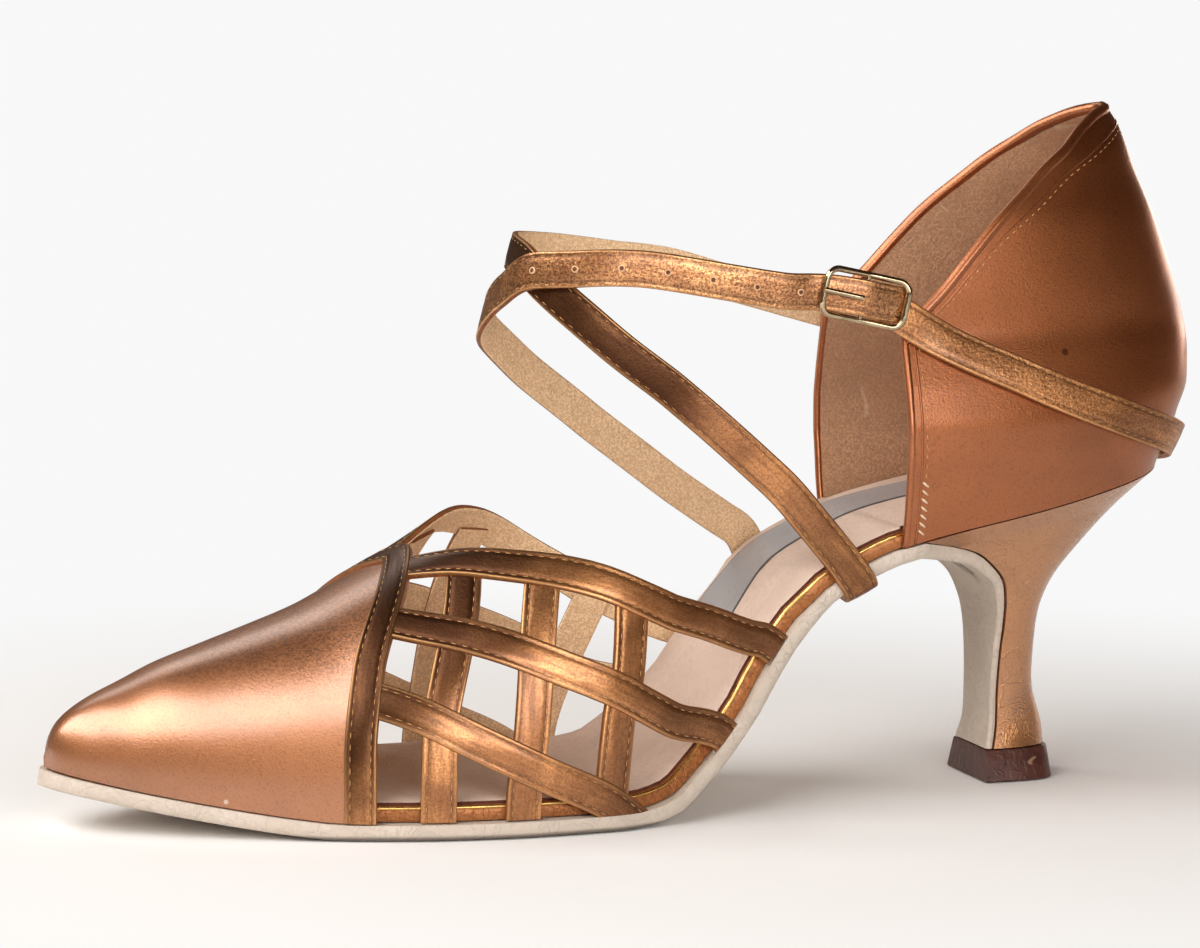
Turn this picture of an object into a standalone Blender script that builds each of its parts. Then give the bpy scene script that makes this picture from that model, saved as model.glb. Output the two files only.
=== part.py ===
"""Ballroom dance shoe for a left foot.

Closed pointed toe, woven strap sides, crossed instep straps with a small buckle, closed counter and a
slim flared heel. The origin is the middle of the heel tip's ground face, +X points to the toe, +Y to the
outer side of the foot and +Z up. Lengths are in metres.
"""
import math
from typing import NamedTuple

import bmesh
import bpy
from mathutils import Vector

MM = 0.001

# Driving dimensions of the whole shoe
SOLE_LENGTH = 237.5 * MM
SEAT_OVERHANG = 33 * MM
COUNTER_LENGTH = 64 * MM
BALL_WIDTH = 76 * MM
SEAT_WIDTH = 50 * MM
HEEL_HEIGHT = 65 * MM
TOE_SPRING = 8.7 * MM
INSTEP_HEIGHT = 54.2 * MM
COUNTER_HEIGHT = 73.2 * MM
RIDGE_OFFSET = 3 * MM
ANKLE_HALF_WIDTH = 24.7 * MM
ANKLE_REACH = 78 * MM
ANKLE_LEVEL = 98 * MM

# Materials' own thicknesses and widths
OUTSOLE_THICKNESS = 3.2 * MM
INSOLE_THICKNESS = 4 * MM
UPPER_WALL = 1.4 * MM
COUNTER_WALL = 1.8 * MM
UPPER_INSET = 0.8 * MM
BAND_WIDTH = 6.4 * MM
BAND_LIFT = 0.85 * MM
LATTICE_WIDTH = 7.2 * MM
LATTICE_LIFT = 0.55 * MM
LATTICE_DROP = 0.25 * MM
STRAP_WIDTH = 7.4 * MM
STRAP_THICKNESS = 1.4 * MM
SOLE_EDGE_ROUND = 1 * MM
TIP_HEIGHT = 6.5 * MM
TIP_FLARE = 1.5 * MM
BUCKLE_LENGTH = 19 * MM
BUCKLE_HEIGHT = 10.7 * MM
BUCKLE_WIRE = 1.3 * MM
BUCKLE_CORNER = 3 * MM
BUCKLE_BEND = 1.2 * MM
PRONG_WIDTH = 1.2 * MM
GAP = 0.3 * MM
STRAP_EASE = 0.4 * MM
STRAP_FACET = 1.8 * MM
ARCH_LEAN = 2 * MM

# Roundness of the cross-sections: 2 is an ellipse, more is squarer
LAST_FULLNESS = 2.4
COUNTER_FULLNESS = 2.857
HEEL_FULLNESS = 2.5
ANKLE_FULLNESS = 3.0
ANKLE_LEAN = 0.27
TIP_FULLNESS = 4.0

ROUND_STEPS = 4


class OutlineRow(NamedTuple):
    """Sole edge: station along the sole, reach to each side as a share of the ball width."""
    station: float
    outer: float
    inner: float


class ProfileRow(NamedTuple):
    """Top of the sole: shares of the heel height and of the toe spring."""
    station: float
    rise: float
    spring: float


class RidgeRow(NamedTuple):
    """Top line of the last as a share of the instep height."""
    station: float
    height: float


class LevelRow(NamedTuple):
    """Counter at one level: shares of half the seat width and of the counter length."""
    level: float
    width: float
    length: float


class ToplineRow(NamedTuple):
    """Counter's top edge: direction around it in quarter turns, and level."""
    turn: float
    level: float


class SurfaceRow(NamedTuple):
    """Place on the last: station, and quarter turns up from the sole's edge."""
    station: float
    turn: float


class CounterRow(NamedTuple):
    """Place on the counter: quarter turns from the outer front edge, and level."""
    turn: float
    level: float


class AnkleRow(NamedTuple):
    """Strap over the instep: quarter turns from the front, share of the shoe's height, layers out."""
    turn: float
    height: float
    layer: float


class HeelRow(NamedTuple):
    """Heel section: breast and back as shares of length and height, half width, flap thickness."""
    front: float
    front_height: float
    back: float
    back_height: float
    width: float
    flap: float


class BuckleRow(NamedTuple):
    """Strap in the buckle: along as a share of half its length, out and across in strap layers."""
    along: float
    out: float
    across: float


OUTLINE = (
    OutlineRow(0.269, 0.324, 0.318), OutlineRow(0.307, 0.309, 0.303), OutlineRow(0.370, 0.316, 0.309),
    OutlineRow(0.433, 0.368, 0.342), OutlineRow(0.496, 0.447, 0.408), OutlineRow(0.559, 0.500, 0.467),
    OutlineRow(0.622, 0.507, 0.487), OutlineRow(0.685, 0.487, 0.480), OutlineRow(0.748, 0.434, 0.451),
    OutlineRow(0.811, 0.355, 0.399), OutlineRow(0.859, 0.287, 0.349), OutlineRow(0.895, 0.232, 0.303),
    OutlineRow(0.929, 0.174, 0.254), OutlineRow(0.957, 0.122, 0.204), OutlineRow(0.975, 0.086, 0.162),
    OutlineRow(0.987, 0.053, 0.132), OutlineRow(0.995, 0.015, 0.094), OutlineRow(1.0, -0.0395, 0.0395),
)

PROFILE = (
    ProfileRow(0.0, 0.955, 0.0), ProfileRow(0.135, 0.854, 0.0), ProfileRow(0.269, 0.751, 0.0),
    ProfileRow(0.307, 0.692, 0.0), ProfileRow(0.340, 0.626, 0.0), ProfileRow(0.366, 0.529, 0.0),
    ProfileRow(0.397, 0.383, 0.0), ProfileRow(0.419, 0.262, 0.0), ProfileRow(0.461, 0.108, 0.0),
    ProfileRow(0.494, 0.022, 0.0), ProfileRow(0.529, 0.0, 0.0), ProfileRow(0.777, 0.0, 0.0),
    ProfileRow(0.811, 0.0, 0.09), ProfileRow(0.859, 0.0, 0.28), ProfileRow(0.929, 0.0, 0.61),
    ProfileRow(1.0, 0.0, 1.0),
)

RIDGE = (
    RidgeRow(0.330, 1.970), RidgeRow(0.391, 1.827), RidgeRow(0.475, 1.568), RidgeRow(0.559, 1.310),
    RidgeRow(0.613, 1.155), RidgeRow(0.676, 0.978), RidgeRow(0.702, 0.915), RidgeRow(0.742, 0.830),
    RidgeRow(0.769, 0.773), RidgeRow(0.811, 0.708), RidgeRow(0.859, 0.639), RidgeRow(0.895, 0.587),
    RidgeRow(0.929, 0.521), RidgeRow(0.957, 0.470), RidgeRow(0.975, 0.428), RidgeRow(0.987, 0.385),
    RidgeRow(0.995, 0.330), RidgeRow(1.0, 0.262),
)

LEVELS = (
    LevelRow(0.0, 1.0, 0.906), LevelRow(0.092, 1.08, 0.950), LevelRow(0.156, 1.11, 0.967),
    LevelRow(0.220, 1.14, 1.015), LevelRow(0.277, 1.14, 1.037), LevelRow(0.358, 1.09, 1.077),
    LevelRow(0.439, 1.01, 1.080), LevelRow(0.509, 0.94, 1.066), LevelRow(0.601, 0.92, 1.031),
    LevelRow(0.740, 0.86, 0.968), LevelRow(0.855, 0.735, 0.903), LevelRow(0.902, 0.68, 0.881),
    LevelRow(0.954, 0.53, 0.858), LevelRow(1.0, 0.32, 0.825),
)

TOPLINE = (
    ToplineRow(0.0, 0.509), ToplineRow(0.126, 0.555), ToplineRow(0.238, 0.601), ToplineRow(0.393, 0.682),
    ToplineRow(0.506, 0.747), ToplineRow(0.646, 0.824), ToplineRow(0.767, 0.902), ToplineRow(0.88, 0.964),
    ToplineRow(0.958, 0.994), ToplineRow(1.0, 1.0),
)

BAND_EDGE = (
    SurfaceRow(0.749, 0.0), SurfaceRow(0.7475, 0.167), SurfaceRow(0.734, 0.455),
    SurfaceRow(0.695, 0.81), SurfaceRow(0.674, 1.0),
)

# Woven straps of each side, from the toe band back or from the top strap down
OUTER_STRAPS = {
    "along_upper": (SurfaceRow(0.696, 0.895), SurfaceRow(0.664, 0.770), SurfaceRow(0.615, 0.585),
                    SurfaceRow(0.534, 0.377), SurfaceRow(0.440, 0.154), SurfaceRow(0.368, -0.05)),
    "along_middle": (SurfaceRow(0.724, 0.645), SurfaceRow(0.688, 0.520), SurfaceRow(0.606, 0.297),
                     SurfaceRow(0.523, 0.149), SurfaceRow(0.459, 0.041), SurfaceRow(0.420, -0.03)),
    "along_lower": (SurfaceRow(0.753, 0.370), SurfaceRow(0.714, 0.271), SurfaceRow(0.664, 0.151),
                    SurfaceRow(0.611, 0.066), SurfaceRow(0.555, 0.012), SurfaceRow(0.505, -0.03)),
    "down_front": (SurfaceRow(0.656, 0.705), SurfaceRow(0.669, 0.531), SurfaceRow(0.693, 0.274),
                   SurfaceRow(0.698, 0.162), SurfaceRow(0.701, -0.03)),
    "down_centre": (SurfaceRow(0.597, 0.530), SurfaceRow(0.609, 0.360), SurfaceRow(0.621, 0.132),
                    SurfaceRow(0.627, 0.052), SurfaceRow(0.630, -0.03)),
    "down_back": (SurfaceRow(0.523, 0.345), SurfaceRow(0.531, 0.206), SurfaceRow(0.541, 0.140),
                  SurfaceRow(0.549, 0.034), SurfaceRow(0.553, -0.02)),
}
INNER_STRAPS = {
    "along_upper": (SurfaceRow(0.693, 0.92), SurfaceRow(0.642, 0.775), SurfaceRow(0.597, 0.59),
                    SurfaceRow(0.547, 0.40), SurfaceRow(0.495, 0.26), SurfaceRow(0.453, 0.15),
                    SurfaceRow(0.380, -0.04)),
    "along_middle": OUTER_STRAPS["along_middle"],
    "along_lower": OUTER_STRAPS["along_lower"],
    "down_front": (SurfaceRow(0.650, 0.765), SurfaceRow(0.665, 0.56), SurfaceRow(0.693, 0.274),
                   SurfaceRow(0.698, 0.162), SurfaceRow(0.701, -0.03)),
    "down_centre": (SurfaceRow(0.592, 0.555), SurfaceRow(0.609, 0.360), SurfaceRow(0.621, 0.132),
                    SurfaceRow(0.627, 0.052), SurfaceRow(0.630, -0.03)),
    "down_back": (SurfaceRow(0.478, 0.215), SurfaceRow(0.500, 0.135), SurfaceRow(0.520, 0.045),
                  SurfaceRow(0.527, -0.03)),
}

# First instep strap: outer shank, over the instep, to the inner corner of the counter
FIRST_ARCH = 0.316
FIRST_STRAP = (
    AnkleRow(0.968, 0.348, 0), AnkleRow(0.954, 0.379, 0), AnkleRow(0.896, 0.467, 0),
    AnkleRow(0.804, 0.547, 0), AnkleRow(0.711, 0.606, 0), AnkleRow(0.635, 0.643, 0),
    AnkleRow(0.503, 0.694, 0), AnkleRow(0.399, 0.728, 0), AnkleRow(0.265, 0.761, 0),
    AnkleRow(0.108, 0.789, 0), AnkleRow(0.0, 0.802, 0), AnkleRow(-0.140, 0.807, 0),
    AnkleRow(-0.303, 0.803, 0), AnkleRow(-0.499, 0.794, 0), AnkleRow(-0.683, 0.778, 0),
    AnkleRow(-0.813, 0.763, 0), AnkleRow(-0.940, 0.725, 0),
)
# Second instep strap: inner shank, over the first strap, to the buckle
SECOND_ARCH = 0.338
SECOND_STRAP = (
    AnkleRow(-0.944, 0.357, 0), AnkleRow(-0.899, 0.398, 0), AnkleRow(-0.793, 0.474, 0),
    AnkleRow(-0.683, 0.535, 0.2), AnkleRow(-0.569, 0.586, 0.5), AnkleRow(-0.377, 0.650, 0.9),
    AnkleRow(-0.253, 0.679, 1.2), AnkleRow(-0.130, 0.704, 1.2), AnkleRow(-0.040, 0.730, 1.2),
    AnkleRow(0.025, 0.756, 1.2), AnkleRow(0.085, 0.774, 1.2), AnkleRow(0.168, 0.787, 1.2),
    AnkleRow(0.330, 0.793, 1.2), AnkleRow(0.448, 0.797, 1), AnkleRow(0.561, 0.796, 1),
    AnkleRow(0.659, 0.788, 1), AnkleRow(0.750, 0.777, 1), AnkleRow(0.820, 0.767, 1),
    AnkleRow(0.874, 0.759, 1),
)
# Heel strap: from the buckle's bar, down around the back, up to the inner corner
HEEL_STRAP = (
    CounterRow(0.03, 0.528), CounterRow(0.13, 0.499), CounterRow(0.281, 0.456), CounterRow(0.437, 0.406),
    CounterRow(0.583, 0.338), CounterRow(0.721, 0.269), CounterRow(0.860, 0.214), CounterRow(1.0, 0.186),
    CounterRow(1.140, 0.214), CounterRow(1.279, 0.269), CounterRow(1.417, 0.338), CounterRow(1.563, 0.406),
    CounterRow(1.719, 0.456), CounterRow(1.87, 0.490),
)
CORNER_END = CounterRow(1.97, 0.500)
BUCKLE_PLACE = CounterRow(-0.24, 0.5955)
BUCKLE_DROP = 0.235

UNDER_BUCKLE = (
    BuckleRow(1.25, 0.0, 0.75), BuckleRow(0.92, 0.0, 0.4), BuckleRow(0.5, 0.66, 0.1),
    BuckleRow(0.0, 1.42, 0.0), BuckleRow(-0.5, 0.66, 0.0), BuckleRow(-0.92, 0.05, 0.0),
    BuckleRow(-1.02, 0.0, 0.03),
)
BAR_LOOP = (BuckleRow(-0.16, -0.05, 0.0), BuckleRow(-0.5, -0.7, 0.25), BuckleRow(-0.8, -1.0, 0.8))

HEEL = (
    HeelRow(0.305, 0.792, -0.375, 0.894, 0.90, 0.95), HeelRow(0.211, 0.762, -0.307, 0.831, 0.80, 0.85),
    HeelRow(0.145, 0.717, -0.239, 0.762, 0.71, 0.75), HeelRow(0.090, 0.658, -0.161, 0.677, 0.615, 0.60),
    HeelRow(0.067, 0.585, -0.121, 0.608, 0.515, 0.50), HeelRow(0.060, 0.508, -0.098, 0.531, 0.435, 0.42),
    HeelRow(0.062, 0.415, -0.089, 0.423, 0.368, 0.40), HeelRow(0.066, 0.292, -0.088, 0.292, 0.328, 0.40),
    HeelRow(0.070, 0.177, -0.120, 0.177, 0.336, 0.40), HeelRow(0.086, 0.100, -0.128, 0.100, 0.38, 0.40),
)
SEAT_FRONT = 0.9375
FLAP_SHARE = 0.93

SOLE_STATIONS = (0.277, 0.29, 0.307, 0.323, 0.340, 0.353, 0.366, 0.381, 0.397, 0.408, 0.419, 0.440, 0.461,
                 0.478, 0.494, 0.529, 0.59, 0.65, 0.71, 0.777, 0.811, 0.859, 0.895, 0.929, 0.957, 0.975,
                 0.987, 0.995, 0.9985, 1.0)
INSOLE_STATIONS = (0.020, 0.025, 0.038, 0.06, 0.10, 0.16, 0.22, 0.262, 0.272, 0.307, 0.340, 0.352, 0.360,
                   0.381, 0.397, 0.408, 0.419, 0.440, 0.461, 0.478, 0.494, 0.529, 0.59, 0.65, 0.71, 0.777,
                   0.811, 0.859, 0.895, 0.922, 0.938, 0.945)
INSOLE_BARE = (0.268, 0.353)
INSOLE_BARE_INSET = 1 * MM
TOE_SECTIONS = (0.0, 0.13, 0.26, 0.38, 0.49, 0.59, 0.68, 0.76, 0.83, 0.885, 0.93, 0.963, 0.985, 1.0)


class Curve:
    """Smooth curve through a table's rows that never swings past them."""

    def __init__(self, rows, key, value):
        self.keys = [getattr(row, key) for row in rows]
        self.values = [getattr(row, value) for row in rows]
        steps = [(v1 - v0) / (k1 - k0) for k0, k1, v0, v1 in
                 zip(self.keys, self.keys[1:], self.values, self.values[1:])]
        self.slopes = [steps[0]]
        for before, after in zip(steps, steps[1:]):
            level = before * after <= 0
            self.slopes.append(0.0 if level else 2 * before * after / (before + after))
        self.slopes.append(steps[-1])

    def __call__(self, key):
        key = min(max(key, self.keys[0]), self.keys[-1])
        index = 0
        while index < len(self.keys) - 2 and key > self.keys[index + 1]:
            index += 1
        span = self.keys[index + 1] - self.keys[index]
        part = (key - self.keys[index]) / span
        low, high = self.values[index], self.values[index + 1]
        rise = self.slopes[index] * span
        fall = self.slopes[index + 1] * span
        return (low * (1 + 2 * part) * (1 - part) ** 2 + high * part ** 2 * (3 - 2 * part)
                + rise * part * (1 - part) ** 2 - fall * part ** 2 * (1 - part))


outer_reach = Curve(OUTLINE, "station", "outer")
inner_reach = Curve(OUTLINE, "station", "inner")
sole_rise = Curve(PROFILE, "station", "rise")
sole_spring = Curve(PROFILE, "station", "spring")
ridge_height = Curve(RIDGE, "station", "height")
level_width = Curve(LEVELS, "level", "width")
level_length = Curve(LEVELS, "level", "length")
topline_level = Curve(TOPLINE, "turn", "level")
band_edge = Curve(BAND_EDGE, "turn", "station")


def signed_power(value, power):
    """Power that keeps the sign, for superellipse sections."""
    return math.copysign(abs(value) ** power, value)


def along(station):
    """X of a station on the sole."""
    return station * SOLE_LENGTH - SEAT_OVERHANG


def station_at(x):
    """Station of an X on the sole."""
    return (x + SEAT_OVERHANG) / SOLE_LENGTH


def feather(station):
    """Height of the sole's top face, where insole and upper stand."""
    return OUTSOLE_THICKNESS + sole_rise(station) * HEEL_HEIGHT + sole_spring(station) * TOE_SPRING


def sole_slope(station):
    """Rise of the sole's top face per length."""
    step = 0.002
    return (feather(station + step) - feather(station - step)) / (2 * step * SOLE_LENGTH)


def under_sole(station, thickness):
    """Downward vector across a layer of this thickness, square to the sole."""
    slope = sole_slope(station)
    return Vector((slope, 0, -1)).normalized() * thickness


def drawn_in(width, inset):
    """Width less an inset, which fades out where the width closes."""
    return width - inset * width / (width + inset) if width > 0 else 0.0


def toe_blend(station):
    """0 behind the toe's end, 1 at its tip."""
    start = 0.93
    part = min(max((station - start) / (1 - start), 0.0), 1.0)
    return part * part * (3 - 2 * part)


def last_point(station, turn, inset=0.0):
    """Point of the upper's surface, drawn in from its outer face by the inset."""
    angle = turn * math.pi / 2
    total = UPPER_INSET + inset
    if math.cos(angle) >= 0:
        width = outer_reach(station) * BALL_WIDTH + RIDGE_OFFSET
    else:
        width = inner_reach(station) * BALL_WIDTH - RIDGE_OFFSET
    base = feather(station) + GAP
    top = ridge_height(station) * INSTEP_HEIGHT - inset
    power = 2 / LAST_FULLNESS
    return Vector((
        along(station) - total * toe_blend(station),
        drawn_in(width, total) * signed_power(math.cos(angle), power) - RIDGE_OFFSET,
        base + (top - base) * signed_power(math.sin(angle), power),
    ))


def last_normal(station, turn):
    """Outward direction of the upper's surface."""
    step = 0.004
    forward = last_point(station + step, turn) - last_point(station - step, turn)
    upward = last_point(station, turn + step) - last_point(station, turn - step)
    return upward.cross(forward).normalized()


SEAT_X = COUNTER_LENGTH - SEAT_OVERHANG


def counter_base():
    """Height where the counter's front edge stands."""
    return feather(station_at(SEAT_X))


def counter_height_at(level):
    """Height of a level of the counter."""
    peak = feather(0.0) + COUNTER_HEIGHT
    return counter_base() + level * (peak - counter_base())


def counter_level(height):
    """Level of a height on the counter."""
    peak = feather(0.0) + COUNTER_HEIGHT
    return (height - counter_base()) / (peak - counter_base())


def counter_point(turn, height, offset=0.0):
    """Point on the counter's outer face, moved outward by the offset."""
    level = counter_level(height)
    width = level_width(level) * SEAT_WIDTH / 2 + offset
    length = level_length(level) * COUNTER_LENGTH + offset
    angle = turn * math.pi / 2
    across, back = math.cos(angle), math.sin(angle)
    power = COUNTER_FULLNESS
    reach = (abs(across / width) ** power + abs(back / length) ** power) ** (-1 / power)
    return Vector((SEAT_X - reach * back, reach * across, height))


def rim_height(turn, offset=0.0):
    """Height of the heel seat under the counter in this direction."""
    height = counter_base()
    for _ in range(4):
        height = feather(station_at(counter_point(turn, height, offset).x))
    return height


def counter_normal(turn, height):
    """Outward direction of the counter's face."""
    step = 0.01
    around = counter_point(turn + step, height) - counter_point(turn - step, height)
    lift = 0.5 * MM
    upward = counter_point(turn, height + lift) - counter_point(turn, height - lift)
    return around.cross(upward).normalized()


def sole_edges(station, inset=0.0):
    """Outer and inner Y of the sole's edge, drawn in by the inset."""
    x = along(station)
    if x < SEAT_X:
        height = feather(station)
        level = counter_level(height)
        width = level_width(level) * SEAT_WIDTH / 2 - inset
        length = level_length(level) * COUNTER_LENGTH - inset
        share = min((SEAT_X - x) / length, 1.0)
        half = width * (1 - share ** COUNTER_FULLNESS) ** (1 / COUNTER_FULLNESS)
        return half, -half
    outer = drawn_in(outer_reach(station) * BALL_WIDTH + RIDGE_OFFSET, inset) - RIDGE_OFFSET
    inner = -drawn_in(inner_reach(station) * BALL_WIDTH - RIDGE_OFFSET, inset) - RIDGE_OFFSET
    return outer, inner


def smooth_path(points, samples):
    """Points on a rounded curve through the given ones, with this many steps between two."""
    path = []
    count = len(points)
    for index in range(count - 1):
        before = points[max(index - 1, 0)]
        start, end = points[index], points[index + 1]
        after = points[min(index + 2, count - 1)]
        for step in range(samples):
            part = step / samples
            path.append(tuple(
                0.5 * (2 * b + (c - a) * part + (2 * a - 5 * b + 4 * c - d) * part ** 2
                       + (3 * b - a - 3 * c + d) * part ** 3)
                for a, b, c, d in zip(before, start, end, after)))
    path.append(tuple(points[-1]))
    return path


def add_object(name, mesh_builder, colour, roughness, metallic):
    """Object from a bmesh, with its own material and rounded faces shaded smooth."""
    bmesh.ops.remove_doubles(mesh_builder, verts=mesh_builder.verts, dist=1e-6)
    bmesh.ops.recalc_face_normals(mesh_builder, faces=mesh_builder.faces)
    mesh = bpy.data.meshes.new(name)
    mesh_builder.to_mesh(mesh)
    mesh_builder.free()
    mesh.shade_smooth()
    mesh.set_sharp_from_angle(angle=math.radians(35))
    material = bpy.data.materials.new(name)
    material.use_nodes = True
    shader = material.node_tree.nodes["Principled BSDF"]
    shader.inputs["Base Color"].default_value = (*colour, 1.0)
    shader.inputs["Roughness"].default_value = roughness
    shader.inputs["Metallic"].default_value = metallic
    mesh.materials.append(material)
    item = bpy.data.objects.new(name, mesh)
    bpy.context.scene.collection.objects.link(item)
    return item


def walled_sheet(outer, inner, close_end=True):
    """Closed wall between two grids of points with the same rows and columns."""
    builder = bmesh.new()
    rows, columns = len(outer), len(outer[0])
    front = [[builder.verts.new(point) for point in row] for row in outer]
    back = [[builder.verts.new(point) for point in row] for row in inner]
    for row in range(rows - 1):
        for column in range(columns - 1):
            for grid in (front, back):
                builder.faces.new((grid[row][column], grid[row + 1][column],
                                   grid[row + 1][column + 1], grid[row][column + 1]))
        for column in (0, columns - 1):
            builder.faces.new((front[row][column], front[row + 1][column],
                               back[row + 1][column], back[row][column]))
    for row in (0, rows - 1) if close_end else (0,):
        for column in range(columns - 1):
            builder.faces.new((front[row][column], front[row][column + 1],
                               back[row][column + 1], back[row][column]))
    return builder


def loft(rings, closed=False):
    """Solid through rings of points: capped at both ends, or closed on itself."""
    builder = bmesh.new()
    loops = [[builder.verts.new(point) for point in ring] for ring in rings]
    count = len(loops[0])
    pairs = list(zip(loops, loops[1:]))
    if closed:
        pairs.append((loops[-1], loops[0]))
    for here, there in pairs:
        for index in range(count):
            following = (index + 1) % count
            builder.faces.new((here[index], here[following], there[following], there[index]))
    if not closed:
        builder.faces.new(loops[0])
        builder.faces.new(list(reversed(loops[-1])))
    return builder


def ribbon(path, normals, width, thickness, lift=0.0):
    """Flat strap along a path; its outer face stands off the path by the lift."""
    outer, inner = [], []
    for index, point in enumerate(path):
        ahead = path[min(index + 1, len(path) - 1)]
        behind = path[max(index - 1, 0)]
        tangent = (ahead - behind).normalized()
        normal = normals[index] - tangent * normals[index].dot(tangent)
        normal.normalize()
        side = normal.cross(tangent) * (width / 2)
        outer.append([point + side + normal * lift, point - side + normal * lift])
        low = lift - thickness
        inner.append([point + side + normal * low, point - side + normal * low])
    return walled_sheet(outer, inner)


# Sole, insole and heel

def breast_line():
    """Heel breast from the seat down to the tip: points, half widths and flap thicknesses."""
    seat = SEAT_X - (1 - SEAT_FRONT) * COUNTER_LENGTH
    station = station_at(seat)
    points = [Vector((seat, 0, feather(station)))]
    widths = [sole_edges(station)[0]]
    flaps = [OUTSOLE_THICKNESS]
    for row in HEEL:
        height = row.front_height * HEEL_HEIGHT
        if row is HEEL[-1]:
            height = TIP_HEIGHT + GAP
        points.append(Vector((row.front * COUNTER_LENGTH, 0, height)))
        widths.append(row.width * SEAT_WIDTH / 2)
        flaps.append(row.flap * OUTSOLE_THICKNESS)
    return points, widths, flaps


def sole_row(top, down, outer, inner, rounding):
    """Upper and lower points across the outsole at one row."""
    foot = top + down
    side = down.normalized() * (down.length - rounding)
    upper = [Vector((top.x, outer, top.z)), Vector((top.x, inner, top.z))]
    lower = [Vector((foot.x, outer - rounding, foot.z)), Vector((foot.x, inner + rounding, foot.z))]
    edge = top + side
    middle = [Vector((edge.x, outer, edge.z)), Vector((edge.x, inner, edge.z))]
    return upper, middle, lower


def make_outsole():
    """Outsole from the toe to the shank, then down the heel breast as a thin flap."""
    rings = []
    for station in reversed(SOLE_STATIONS):
        outer, inner = sole_edges(station)
        rounding = min(SOLE_EDGE_ROUND, (outer - inner) / 8)
        top = Vector((along(station), 0, feather(station)))
        rings.append(sole_row(top, under_sole(station, OUTSOLE_THICKNESS), outer, inner, rounding))
    points, widths, flaps = breast_line()
    for index, point in enumerate(points):
        ahead = points[min(index + 1, len(points) - 1)]
        behind = points[max(index - 1, 0)]
        run = (ahead - behind).normalized()
        out = Vector((-run.z, 0, run.x))
        if index == len(points) - 1:
            out = Vector((1, 0, 0))
        half = widths[index] * (FLAP_SHARE if index else 1.0)
        rounding = min(SOLE_EDGE_ROUND, flaps[index] / 3)
        rings.append(sole_row(point + out * GAP, out * flaps[index], half, -half, rounding))
    profile = []
    for upper, middle, lower in rings:
        profile.append([upper[0], upper[1], middle[1], lower[1], lower[0], middle[0]])
    profile[0] = [Vector((point.x, -RIDGE_OFFSET, point.z)) for point in profile[0]]
    builder = loft(profile)
    add_object("outsole", builder, (0.62, 0.58, 0.52), 0.85, 0.0)


def make_insole():
    """Board and sock inside the upper, showing its edge along the shank."""
    hidden = UPPER_INSET + UPPER_WALL + 3 * GAP
    in_counter = COUNTER_WALL + 3 * GAP
    rows = []
    for station in INSOLE_STATIONS:
        inset = hidden
        if station < INSOLE_BARE[0]:
            inset = in_counter
        elif station < INSOLE_BARE[1]:
            inset = INSOLE_BARE_INSET
        outer, inner = sole_edges(station, inset)
        lift = under_sole(station, -INSOLE_THICKNESS)
        low = Vector((along(station), 0, feather(station) + GAP))
        shoulder = lift * 0.75
        inward = INSOLE_THICKNESS / 4
        rows.append([
            Vector((low.x, outer, low.z)), Vector((low.x + shoulder.x, outer, low.z + shoulder.z)),
            Vector((low.x + lift.x, outer - inward, low.z + lift.z)),
            Vector((low.x + lift.x, inner + inward, low.z + lift.z)),
            Vector((low.x + shoulder.x, inner, low.z + shoulder.z)), Vector((low.x, inner, low.z)),
        ])
    add_object("insole", loft(rows), (0.72, 0.60, 0.52), 0.9, 0.0)


def half_ring(front, back, half, turns, fullness):
    """Ring with a straight front edge and a rounded back, through two points of the middle plane."""
    ring = []
    power = 2 / fullness
    for step in range(turns + 1):
        angle = math.pi * step / turns
        share = signed_power(math.sin(angle), power)
        middle = front.lerp(back, share)
        ring.append(Vector((middle.x, half * signed_power(math.cos(angle), power), middle.z)))
    return ring


def seat_ring(seat, turns):
    """Outline of the heel seat from one side of the breast around the back to the other."""
    end = counter_point(1.0, rim_height(1.0))
    ring = []
    for step in range(turns + 1):
        share = signed_power(math.sin(math.pi * step / turns), 2 / COUNTER_FULLNESS)
        station = station_at(seat.x + (end.x - seat.x) * share)
        outer, inner = sole_edges(station)
        ring.append(Vector((along(station), outer if 2 * step < turns else inner, feather(station))))
    return ring


def make_heel():
    """Covered heel block: seat outline at the top, slim neck, flared foot."""
    turns = 16
    points, widths, _ = breast_line()
    rings = [seat_ring(points[0], turns)]
    for row, front, half in zip(HEEL, points[1:], widths[1:]):
        height = row.back_height * HEEL_HEIGHT
        if row is HEEL[-1]:
            height = front.z
        back = Vector((row.back * COUNTER_LENGTH, 0, height))
        rings.append(half_ring(front, back, half, turns, HEEL_FULLNESS))
    add_object("heel", loft(rings), (0.62, 0.33, 0.16), 0.35, 0.4)


def make_heel_tip():
    """Hard tip under the heel, flared to the ground."""
    foot = HEEL[-1]
    flap = foot.flap * OUTSOLE_THICKNESS
    front = foot.front * COUNTER_LENGTH + GAP + flap
    back = foot.back * COUNTER_LENGTH
    half = foot.width * SEAT_WIDTH / 2
    rings = []
    for height, flare in ((TIP_HEIGHT, 0.0), (0.0, TIP_FLARE)):
        rings.append(half_ring(Vector((front + flare / 2, 0, height)), Vector((back - flare / 2, 0, height)),
                               half + flare, 16, TIP_FULLNESS))
    add_object("heel_tip", loft(rings), (0.12, 0.05, 0.03), 0.45, 0.0)


# Upper

def surface_strap(rows, mirrored, width, thickness, lift, samples=3):
    """Strap that lies on the last, through rows of station and turn."""
    path, normals = [], []
    for station, turn in smooth_path(rows, samples):
        side = 2 - turn if mirrored else turn
        path.append(last_point(station, side))
        normals.append(last_normal(station, side))
    return ribbon(path, normals, width, thickness, lift)


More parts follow.
